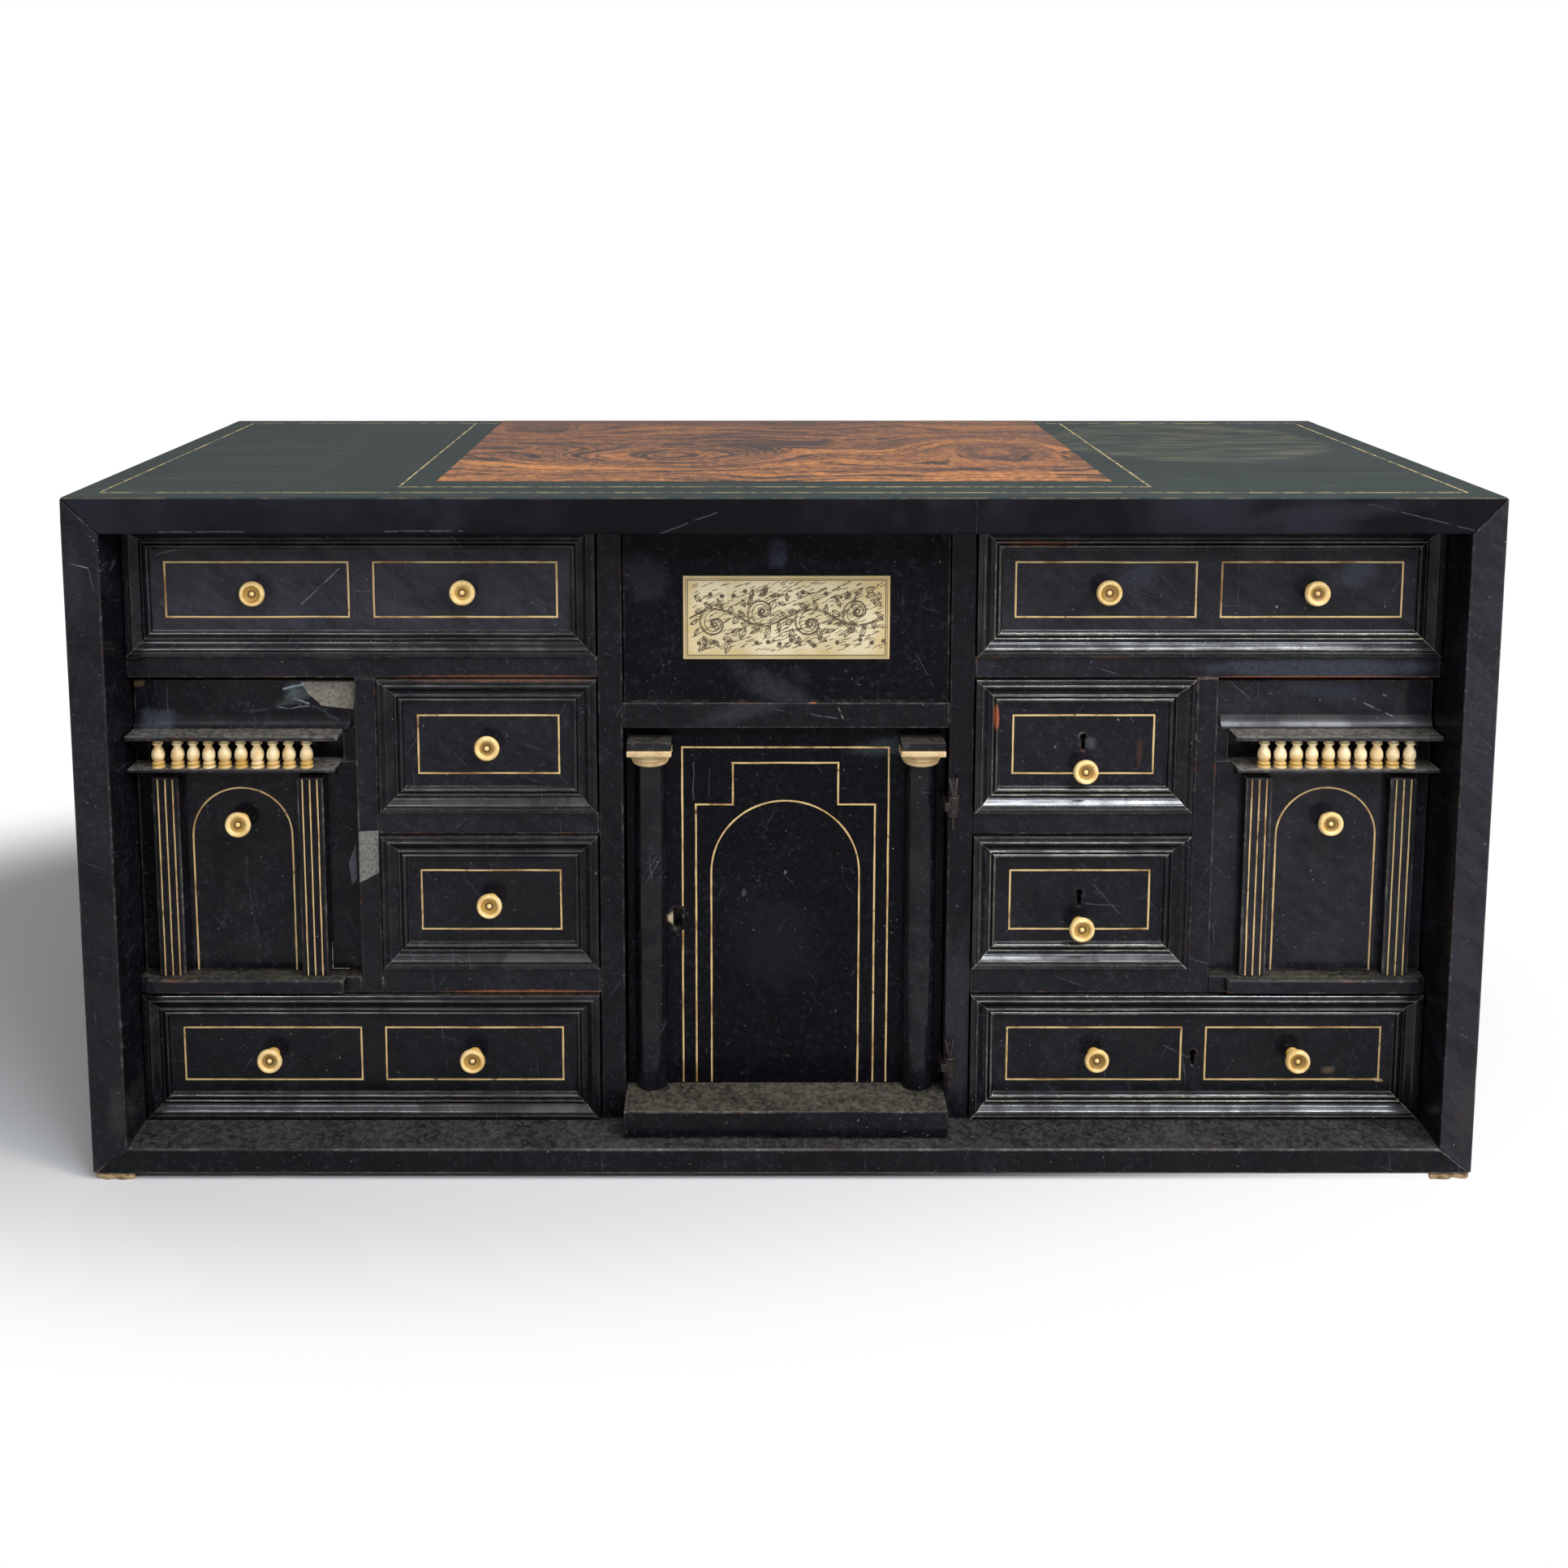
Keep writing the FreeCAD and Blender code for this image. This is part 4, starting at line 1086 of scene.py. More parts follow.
@dataclass(frozen=True)
class TurnedBone:
    """Turned bone: ivory outside, stained amber where the mark is strong, with fine rings."""

    name: str
    ivory: Colour = tone(232, 208, 152)
    mottle: Colour = tone(214, 176, 96)
    amber: Colour = tone(186, 142, 58)
    deep: Colour = tone(84, 58, 22)
    patchy: float = 0.5

    def dress(self) -> Material:
        """Build the material.

        Returns:
            The material.
        """
        r = Recipe(self.name)
        patches = r.noise(110.0, 4, 0.6, 0.3)
        fine = r.noise(700.0, 3, seed=3.0)
        stain = r.mark()
        colour = r.mix(patches.rise(0.42, 0.66) * self.patchy, self.ivory, self.mottle)
        colour = r.mix(stain.rise(0.15, 0.55), colour, self.amber)
        colour = r.mix(stain.rise(0.55, 1.0), colour, self.deep)
        colour = r.mix(fine.rise(0.56, 0.7) * 0.35, colour, tone(120, 84, 42))
        return r.finish({
            "Base Color": colour, "Roughness": 0.3 + 0.15 * patches, "Specular IOR Level": 0.45,
            "Subsurface Weight": 0.08, "Subsurface Radius": (0.6, 0.4, 0.2), "Subsurface Scale": 1.5 * MM,
            "Normal": r.bump(fine * 0.6 + patches, 0.25, 0.1 * MM),
        })


@dataclass(frozen=True)
class EngravedBone:
    """The plaque: pale bone, yellowed at its edges, with brown colour rubbed into its cuts."""

    bone: Colour = tone(214, 199, 164)
    yellowed: Colour = tone(196, 166, 108)
    ink: Colour = tone(70, 56, 40)

    def dress(self) -> Material:
        """Build the material.

        Returns:
            The material.
        """
        r = Recipe("engraved_bone")
        low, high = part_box("frieze_drawer_plaque")
        across = (r.x - (low.x + high.x) / 2).size() * (2 / (high.x - low.x))
        along = (r.z - (low.z + high.z) / 2).size() * (2 / (high.z - low.z))
        patches = r.noise(36.0, 4, 0.6, 0.5)
        grain = r.streaks((40.0, 40.0, 900.0))
        aged = (across.most(along) + (patches - 0.5) * 0.5).rise(0.72, 1.0)
        colour = r.mix(patches.rise(0.4, 0.66) * 0.7, self.bone, tone(180, 162, 118))
        colour = r.mix(aged * 0.8, colour, self.yellowed)
        colour = r.mix(grain.rise(0.52, 0.72) * 0.35, colour, tone(134, 114, 78))
        wash = r.mark().rise(0.02, 0.45) * (0.45 + 0.5 * patches)
        colour = r.mix(wash, colour, tone(138, 124, 92))
        colour = r.mix(r.mark().rise(0.3, 0.85) * 0.95, colour, self.ink)
        return r.finish({
            "Base Color": colour, "Roughness": 0.4 + 0.2 * patches, "Specular IOR Level": 0.35,
            "Normal": r.bump(grain + patches, 0.2, 0.1 * MM),
        })


@dataclass(frozen=True)
class Weathered:
    """A plain rough stuff of two colours with dark pits: softwood, iron, or a crumbled pad."""

    name: str
    light: Colour
    dark: Colour
    pit: Colour
    grain: Triple
    pits: float = 0.4
    metal: float = 0.0
    rough: float = 0.72
    relief: float = 0.4 * MM

    def dress(self) -> Material:
        """Build the material.

        Returns:
            The material.
        """
        r = Recipe(self.name)
        streaks = r.streaks(self.grain, 5)
        fine = r.streaks(tuple(5 * g for g in self.grain), 3, 2.0)
        dirty = r.noise(11.0, 4, seed=5.0).rise(0.45, 0.75)
        colour = r.mix(streaks.rise(0.34, 0.66), self.light, self.dark)
        colour = r.mix(fine.rise(0.54, 0.7) * self.pits, colour, self.pit)
        colour = r.mix(dirty * self.pits * 0.8, colour, self.pit)
        return r.finish({
            "Base Color": colour, "Metallic": self.metal * streaks.rise(0.6, 0.4),
            "Roughness": self.rough + 0.1 * streaks, "Specular IOR Level": 0.25,
            "Normal": r.bump(streaks + fine * 0.4, 0.5, self.relief),
        })


RUSTY = Weathered("iron", tone(26, 23, 23), tone(44, 34, 31), tone(132, 112, 106), (300.0, 300.0, 300.0),
                  0.3, 0.5, 0.4)

GREY = tone(136, 128, 116)
PALE = tone(150, 148, 144)
SMEAR = tone(40, 40, 46)
FAINT = tone(78, 78, 82)
RED = tone(128, 66, 40)
# What each front carries, in millimetres from the middle of the footprint: marks of wear and use, and a few painted
# sheens and reflections, noted where they stand.
SCARS_AND_SHEENS: dict[str, tuple[Patch | Scratch | Shred, ...]] = {
    "case_top": (
        Scratch((-76.5, 419.7), (-40.8, 433.5), 0.5, FAINT, 0.6),
        Scratch((354.6, 438.6), (420.9, 422.3), 0.5, FAINT, 0.6),
        Scratch((117, 419.5), (117, 442.5), 0.4, SMEAR, wander=0.3),
        Patch(330, 433, 50, 5, tone(34, 34, 40), 0.7, 0.1, 0.9),
        Scratch((-380.1, 421.3), (-327, 421.5), 0.6, FAINT, 0.7, 0.5),
        Scratch((-245.9, 421.8), (-195.4, 422), 0.6, FAINT, 0.7, 0.5),
    ),
    "temple_left_drawer": (
        # Painted reflection: the two pale bluish patches and the three pale bluish-white streaks round the label's left
        # end stand in for glossy reflections on the fascia; the grey shred between them is what is left of the label.
        Patch(-311, 306, 12, 3.4, tone(86, 92, 88), 0.55, 0.45, 0.9),
        Shred(((-309.2, 315), (-304.7, 307.5), (-295.7, 299), (-275.3, 296.7), (-274, 315)), GREY),
        Patch(-313, 310, 6, 4, tone(88, 98, 104), 0.6, 0.3, 0.9),
        Scratch((-320, 310.5), (-304.5, 313.6), 1.0, tone(158, 166, 168), 0.8, 2),
        Scratch((-313.9, 304.6), (-304.1, 300.4), 0.8, tone(140, 148, 150), 0.8, 2.5),
        Scratch((-323.6, 298.1), (-304.1, 299.2), 0.6, tone(120, 128, 130), 0.7, 2.5),
        Scratch((-342, 296), (-306, 301), 1.1, tone(72, 78, 82), 0.4, 3),
        Scratch((-306, 301), (-285, 290), 1.3, tone(62, 68, 72), 0.4, 3),
        Patch(-401, 290, 10, 6, tone(62, 68, 80), 0.7, 0.0, 0.5, True),
        Patch(-413, 315, 3.8, 3.2, tone(112, 92, 66), 0.9),
        Scratch((-394.8, 292.4), (-394.8, 317), 0.45, FAINT, 0.6, 0.4),
        Scratch((-349, 198.5), (-341.2, 134.8), 0.35, tone(62, 62, 66), wander=4),
        Scratch((-293.8, 139.6), (-293.8, 121.5), 0.4, PALE, 1.0, 0.2),
        Scratch((-293.8, 121.5), (-282.9, 121.5), 0.35, PALE, 1.0, 0.2),
        Shred(((-276.5, 207.5), (-281.3, 193.7), (-279.7, 178.8), (-276.5, 182)), tone(90, 94, 98), 0.7),
    ),
    "temple_right_drawer": (
        Scratch((366.6, 304.3), (397.9, 289.7), 0.6, tone(126, 126, 132), 1.0),
        Scratch((287.9, 314.8), (302.9, 301.4), 0.5, FAINT, 0.9),
        Scratch((304, 315), (294, 306), 0.4, FAINT, 0.7),
        Scratch((386.2, 306.2), (391, 303.5), 0.6, tone(126, 126, 132), 1.0),
        Patch(345, 311, 30, 6, tone(50, 54, 64), 0.6, -0.1, 0.9),
    ),
    "left_bay_dividers": (
        Shred(((-272.6, 217.9), (-260, 218.5), (-260, 190.5), (-273.2, 183.1)), tone(122, 120, 114)),
        Patch(-165, 109, 46, 1.3, tone(150, 90, 58), 0.9, 0.0, 0.7),
        Patch(-180, 320.5, 56, 1, tone(112, 72, 54), 0.8, 0.0, 0.9),
    ),
    "right_bay_dividers": (
        # Painted sheen: a pale bluish-grey band on the board over the right arcaded drawer stands in for a reflection.
        Patch(343, 326.2, 68, 6.2, tone(58, 62, 71), 0.7, 0.0, 0.4),
        Patch(338, 319.8, 72, 1.2, tone(120, 72, 54), 0.95, 0.0, 0.5),
    ),
    "top_left_drawer": (
        Scratch((-305.2, 366.6), (-280.9, 389.9), 0.55, PALE, 0.6, 1.6),
        Scratch((-246, 359), (-246, 393), 0.4, FAINT, 0.5, 0.4),
        Scratch((-272.4, 375.1), (-260.8, 375.1), 0.5, FAINT),
        Scratch((-397.3, 398.5), (-384.7, 401.5), 0.5, PALE, 0.6),
        Patch(-385, 383, 20, 12, SMEAR, 0.6, 0.5, 0.9),
        Scratch((-272, 356), (-272, 390), 0.3, FAINT, 0.5, 0.2),
        Scratch((-260, 356), (-260, 390), 0.3, FAINT, 0.5, 0.2),
    ),
    "top_right_drawer": (
        Patch(161, 406.5, 22, 1.4, RED, 0.8, ragged=0.8),
        Patch(226, 385, 14, 9, tone(62, 64, 74), 0.6, 0.5, 0.9),
        Patch(364, 387, 12, 7, tone(66, 68, 80), 0.6, 0.3, 0.9),
        Scratch((289.5, 392.5), (289.5, 366), 0.3, FAINT, 0.7, 0.2),
        Scratch((278.5, 365.6), (289.5, 365.6), 0.3, FAINT, 0.7, 0.2),
    ),
    "upper_small_right_drawer": (
        Patch(137.1, 293.5, 1.8, 7.2, tone(160, 84, 52), 1.0, 0.05, 0.4),
        Patch(229.8, 269, 2, 9.5, tone(62, 42, 34), 0.8, 0.0, 0.6),
        Patch(198.5, 275.5, 3.2, 4, FAINT, 0.7, 0.6, 0.9),
    ),
    "lower_small_right_drawer": (
        Scratch((202.4, 180.5), (220.1, 160.9), 0.4, FAINT, 0.9),
        Scratch((197.6, 167.6), (217.1, 166.3), 0.4, FAINT, 0.9),
        Scratch((202.3, 174.9), (211, 174.2), 0.4, FAINT, 0.8),
        Patch(266.3, 140.9, 2.8, 8.5, tone(124, 64, 40), 0.95, 0.0, 0.4),
    ),
    "upper_small_left_drawer": (
        Patch(-175, 319.2, 55, 1.4, tone(112, 72, 54), 0.8, 0.0, 0.9),
    ),
    "bottom_right_drawer": (
        Scratch((252, 70), (268, 62), 0.5, FAINT),
        Patch(360.4, 53, 4, 2.2, tone(92, 76, 56), 0.8, ragged=0.6),
        Patch(393.6, 46.2, 3.4, 1.2, tone(190, 166, 130), 0.9, -0.2),
    ),
    "frieze_drawer": (
        Patch(-86, 384.4, 12, 15, tone(44, 44, 52), 0.6, 0.3, 0.7),
        Patch(-2.9, 400, 6, 8.5, tone(58, 60, 74), 0.7, ragged=0.6),
        Patch(-5, 312, 25, 8, tone(52, 52, 56), 0.6, -0.5, 0.9),
        Patch(11.4, 321, 5, 6, SMEAR, 0.4, ragged=0.7),
        Scratch((85, 336), (96, 314), 0.4, FAINT, 0.6),
    ),
    "centre_rail": (
        Patch(20, 304, 3, 1.2, tone(190, 110, 60), 0.9, 0.1, 0.3),
        Scratch((19, 296), (35, 293.5), 0.9, FAINT, 0.7, 2),
        Scratch((36, 300), (39, 293), 0.5, PALE, 0.7),
        Patch(-20, 300, 30, 6, tone(52, 52, 56), 0.6, 0.3, 0.9),
    ),
    "door": (
        Patch(78.2, 271.5, 28, 6, tone(58, 64, 66), 0.6, 0.1, 0.8),
        Scratch((-56.9, 260.6), (-56.9, 235.1), 0.5, FAINT, wander=2),
        Scratch((-47, 256), (-46.5, 238), 0.4, tone(60, 62, 66), wander=1.5),
        Patch(-24.5, 171.8, 1.4, 2.4, tone(90, 92, 92), 0.5, ragged=0.9),
        Patch(2.7, 186.1, 0.8, 1.2, tone(120, 120, 114), 0.8, ragged=0.8),
        Patch(-4, 138, 26, 30, tone(36, 36, 44), 0.35, 0.4, 0.9),
        Patch(-71.2, 154.5, 3, 3.4, tone(206, 184, 152), 0.95, 0.3, 0.5),
    ),
    "right_partition": (
        Patch(115, 90, 20, 55, tone(44, 44, 48), 0.7, ragged=0.7),
    ),
    "case_base": (
        Scratch((-440, 4.5), (-420, 21), 0.9, tone(120, 104, 84), wander=1.5),
        Scratch((-114.8, 4.5), (-114.8, 21.5), 0.4, FAINT, 0.6, 0.4),
    ),
    "case_left_side": (
        Scratch((-435, 402), (-424, 399), 0.5, PALE, 0.7, 1.0),
        Scratch((-424, 399), (-421.5, 384), 0.5, FAINT, 0.8, 1.0),
        Patch(-434, 390, 5, 26, SMEAR, 0.6, ragged=0.9),
        Patch(-422, 45, 5, 16, tone(52, 50, 50), 0.7, ragged=0.9),
    ),
    "case_right_side": (
        Patch(434, 43, 6, 22, tone(54, 48, 48), 0.6, ragged=0.8),
    ),
}


# How strongly a painted sheen, standing in for reflection, lightens each front.
PAINTED_SHEENS = {"top_left_drawer": 0.52, "top_right_drawer": 0.3, "upper_small_left_drawer": 0.1,
         "case_left_side": 0.12, "case_right_side": 0.34}


# Sub-assemblies


def span(node: str) -> tuple[Array, Array]:
    """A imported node's lowest and highest corners."""
    low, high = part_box(node)
    return np.array(low), np.array(high)


@dataclass
class Carcase:
    """The outside boards, the inside framing, the sill and the pads."""

    arris: float = 1.2 * MM
    head_gap: float = 1.0 * MM
    seat_gap: float = 0.3 * MM
    side_gap: float = 0.8 * MM
    ledge_projection: float = 6.0 * MM
    ledge_height: float = 9.6 * MM
    ledge_outer_gap: float = 5.0 * MM
    ledge_inner_gap: float = 10.5 * MM
    pad_size: float = 27 * MM

    def build(self) -> None:
        """Build every fixed wooden piece."""
        self.outside()
        self.partitions()
        for side in ("left", "right"):
            self.bay(side)
        self.pads()

    def outside(self) -> None:
        """The four mitred boards round the case, the top in its own stain."""
        base_z = span("case_base")
        top_z = span("case_top")
        left_x = span("case_left_side")
        right_x = span("case_right_side")
        cuts_x = (left_x[1][0] - left_x[0][0], right_x[1][0] - right_x[0][0])
        cuts_z = (base_z[1][2] - base_z[0][2], top_z[1][2] - top_z[0][2])
        upright = Ebonised("black_upright", grain=(160.0, 160.0, 8.0), dust=0.3, rub=0.35, browning=0.15, seed=2,
                          bare_from=BARE)
        floor = Ebonised("black_floor", dust=0.85, rub=0.95, browning=0.2, seed=4, even=0.45,
                         dust_colour=tone(80, 77, 73), bare_from=BARE)
        looks = {
            "case_top": (StainedTop(), Slot.TOP, 0, 2, top_z[1][2], cuts_x),
            "case_base": (floor, Slot.BLACK, 0, 2, base_z[0][2], cuts_x),
            "case_left_side": (upright, Slot.BLACK, 2, 0, left_x[0][0], cuts_z),
            "case_right_side": (upright, Slot.BLACK, 2, 0, right_x[1][0], cuts_z),
        }
        for seed, (node, (finish, slot, axis, depth_axis, outer, cuts)) in enumerate(looks.items()):
            low, high = span(node)
            if slot is Slot.BLACK:
                finish = replace(finish, name="black_" + node, painted_sheen=PAINTED_SHEENS.get(node, 0.0), scars_and_sheens=SCARS_AND_SHEENS.get(node, ()))
            grids = block(low, high, self.arris, chip=0.9 * MM, seed=seed + 40)
            mitred(grids, low, high, axis, depth_axis, outer, cuts)
            Shell().add(*grids).piece(node + "_board", "case", slot, finish.dress(), (node,), flat=True)

    def partitions(self) -> None:
        """The two partitions, the rail over the door and the sill in front of it."""
        upright = Ebonised("black_partition", grain=(160.0, 160.0, 8.0), dust=0.3, rub=0.3, browning=0.15, seed=6,
                           bare_from=BARE)
        rail = Ebonised("black_rail", dust=0.5, rub=0.5, browning=0.5, seed=8, bare_from=BARE)
        sill = Ebonised("black_sill", dust=0.95, rub=0.9, browning=0.35, seed=10,
                        dust_colour=tone(96, 90, 78))
        looks = {"left_partition": upright, "right_partition": upright, "centre_rail": rail, "door_sill": sill}
        for seed, (node, finish) in enumerate(looks.items()):
            low, high = span(node)
            finish = replace(finish, name=finish.name + node, scars_and_sheens=SCARS_AND_SHEENS.get(node, ()))
            grids = block(low, high, 0.9 * MM, chip=0.5 * MM, seed=seed + 50)
            Shell().add(*grids).piece(node + "_board", "case", Slot.BLACK, finish.dress(), (node,), flat=True)

    def bay(self, side: str) -> None:
        """The boards, the upright and the ledge between the drawers of one side.

        Args:
            side: left or right.
        """
        low, high = span(side + "_bay_dividers")
        fronts = {kind: span(f"{kind}_{side}_drawer_front")
                  for kind in ("top", "bottom", "upper_small", "lower_small", "temple")}
        ys = (low[1] + self.ledge_projection, high[1])
        outward = -1 if side == "left" else 1
        inner_side, outer_side = (1, 0) if side == "left" else (0, 1)
        small_inner = low[0] if outward > 0 else high[0]
        outer_x = high[0] if outward > 0 else low[0]
        small_outer = fronts["lower_small"][outer_side][0] + outward * self.side_gap
        tall_inner = fronts["temple"][inner_side][0] - outward * self.side_gap
        foot = fronts["bottom"][1][2] + self.head_gap
        head = fronts["upper_small"][1][2] + self.head_gap
        boards = {
            "upper": ((small_inner, outer_x), (head, fronts["top"][0][2] - self.seat_gap)),
            "upright": ((small_outer, tall_inner), (foot, head)),
            "middle": ((small_inner, small_outer),
                       (fronts["lower_small"][1][2] + self.head_gap, fronts["upper_small"][0][2] - self.seat_gap)),
            "inner_low": ((small_inner, small_outer), (foot, fronts["lower_small"][0][2] - self.seat_gap)),
            "outer_low": ((tall_inner, outer_x), (foot, fronts["temple"][0][2] - self.seat_gap)),
        }
        shell = Shell()
        for seed, (xs, zs) in enumerate(boards.values()):
            shell.add(*block((min(xs), ys[0], zs[0]), (max(xs), ys[1], zs[1]), 0.8 * MM, chip=0.4 * MM,
                             seed=seed + 60))
        ledge_top = boards["outer_low"][1][1]
        xs = (tall_inner + outward * self.ledge_inner_gap, outer_x - outward * self.ledge_outer_gap)
        shell.add(*block((min(xs), low[1], ledge_top - self.ledge_height), (max(xs), ys[0] + 1 * MM, ledge_top),
                         1.6 * MM, chip=0.5 * MM, seed=70))
        name = side + "_bay_dividers"
        finish = Ebonised(f"black_{side}_bay", dust=0.8, rub=0.6, browning=0.9, seed=12 + outward, painted_sheen=0.1,
                          bare_from=BARE, scars_and_sheens=SCARS_AND_SHEENS.get(name, ()))
        shell.piece(name + "_boards", "case", Slot.BLACK, finish.dress(), (name,), flat=True)

    def pads(self) -> None:
        """Four lumpy pads: blocks whose faces are pushed about by ripples."""
        low, high = span("foot_pads")
        size = self.pad_size
        shell = Shell()
        for x in (low[0], high[0] - size):
            for y in (low[1], high[1] - size):
                grids = block((x + 0.6 * MM, y + 0.6 * MM, low[2]), (x + size, y + size, high[2]), 1.6 * MM, 2.2 * MM)
                for grid in grids:
                    points = grid.points
                    middle = np.array([x + size / 2, y + size / 2, 0])
                    spread = 1 + 0.07 * ripple(points, 9 * MM, 5)[..., None] - 0.06
                    flat = np.array([1.0, 1.0, 0.0])
                    points += (points - middle) * flat * (spread - 1)
                    points[..., 0] = np.clip(points[..., 0], low[0], high[0])
                    points[..., 1] = np.clip(points[..., 1], low[1], high[1])
                shell.add(*grids)
        crumbled = Weathered("crumbled_pad", tone(186, 160, 118), tone(112, 88, 60), tone(56, 42, 30),
                             (240.0, 240.0, 240.0), 0.7, 0.0, 0.85, 0.8 * MM)
        shell.piece("foot_pads_lumps", "case", Slot.PAD, crumbled.dress(), ("foot_pads",))


@dataclass
class Top:
    """The veneer panel and the lines let into the top."""

    line: float = 1.3 * MM
    inset: float = 18 * MM
    frame_gap: float = 19.5 * MM
    frame_front: float = 38.6 * MM

    def build(self) -> None:
        """Build the veneer and the lines."""
        low, high = span("top_veneer")
        case_low, case_high = span("case_top")
        level = case_high[2]
        grids = block((low[0], low[1], low[2]), (high[0], high[1] - 0.5 * MM, level + 0.12 * MM), 0.25 * MM, 8 * MM)
        for grid in grids:
            front = grid.points[..., 1] < low[1] + 2 * MM
            grid.points[..., 1] += front * 0.5 * MM * ripple(grid.points, 24 * MM, 3)
        Shell().add(*grids).piece("top_veneer_sheet", "case", Slot.BURR, BurrVeneer().dress(), ("top_veneer",),
                                  flat=True)
        left, right = case_low[0] + self.inset, case_high[0] - self.inset
        near, far = case_low[1] + self.inset, case_high[1] - self.inset
        frame_left, frame_right = low[0] - self.frame_gap, high[0] + self.frame_gap
        frame_near = case_low[1] + self.frame_front
        paths = [
            [(low[0], far), (left, far), (left, near), (right, near), (right, far), (high[0], far)],
            [(frame_left, far), (frame_left, frame_near), (frame_right, frame_near), (frame_right, far)],
        ]
        shell = Shell()
        for seed, path in enumerate(paths):
            points = filled(path, 8 * MM, False)
            shell.add(*inlaid_line(points, False, self.line, level, Face.TOP, seed + 3))
        dull = BoneLine("top_line", tone(206, 182, 124), tone(140, 120, 76), tone(46, 54, 50), 0.47)
        shell.piece("top_lines_inlay", "case", Slot.BONE, dull.dress(), ("top_lines",))


@dataclass
class TurnedKnob:
    """A turned knob: collar, waisted stem and a dished head with a pip."""

    radius: float = 8.3 * MM
    length: float = 14.5 * MM
    sides: int = 36
    outline: tuple[Pair, ...] = (
        (0.0, 0.0), (0.48, 0.0), (0.52, 0.03), (0.47, 0.08), (0.37, 0.13), (0.33, 0.22), (0.33, 0.34),
        (0.38, 0.48), (0.56, 0.6), (0.86, 0.7), (0.99, 0.77), (1.0, 0.82), (0.97, 0.9), (0.93, 0.95),
        (0.86, 0.985), (0.78, 0.985), (0.68, 0.95), (0.6, 0.9), (0.5, 0.86), (0.38, 0.835), (0.26, 0.82),
        (0.2, 0.83), (0.15, 0.885), (0.08, 0.92), (0.0, 0.93),
    )

    def grid(self, x: float, face_y: float, z: float, seed: int) -> Grid:
        """One knob: the outline turned round an axis that points out of the face.

        Args:
            x: The knob's place across.
            face_y: The face that it stands on.
            z: Its height.
            seed: The seed of its own slight differences.

        Returns:
            Its grid, marked where the dish is stained.
        """
        rng = np.random.default_rng(seed)
        share = spline(list(self.outline), 3)
        dish = rng.uniform(0.62, 0.78)
        profile = share * np.array([self.radius * rng.uniform(0.96, 1.0), self.length * rng.uniform(0.78, 0.96)])
        behind = share[:, 1] > 0.815
        stain = np.clip((dish - share[:, 0]) / 0.14, 0, 1) * behind * rng.uniform(0.66, 0.86)
        pip = np.clip((0.22 - share[:, 0]) / 0.05, 0, 1) * behind
        ring = np.exp(-((share[:, 0] - 0.26) / 0.06) ** 2) * behind * 0.5
        stem = np.clip((0.55 - share[:, 1]) / 0.25, 0, 1) * 0.62
        marks = np.clip(np.maximum((stain + ring) * (1 - pip * 0.8), stem), 0, 1)
        profile[:, 0] = np.maximum(profile[:, 0], 0)
        grid = turned(profile, np.array([x, face_y, z]), OUTWARD, RIGHT, self.sides, marks)
        lean = rng.uniform(-0.035, 0.035, 2)
        out = face_y - grid.points[..., 1]
        grid.points[..., 0] += lean[0] * out
        grid.points[..., 2] += lean[1] * out
        return grid


LINE_BONE = BoneLine()
KNOB_BONE = TurnedBone("knob_bone", ivory=tone(242, 210, 146), mottle=tone(216, 168, 90), patchy=0.75)
BALUSTER_BONE = TurnedBone("baluster_bone", ivory=tone(246, 224, 178), mottle=tone(216, 174, 110), patchy=0.85)


@cache
def shared(finish: BoneLine | TurnedBone) -> Material:
    """The one material of a finish that many pieces share."""
    return finish.dress()


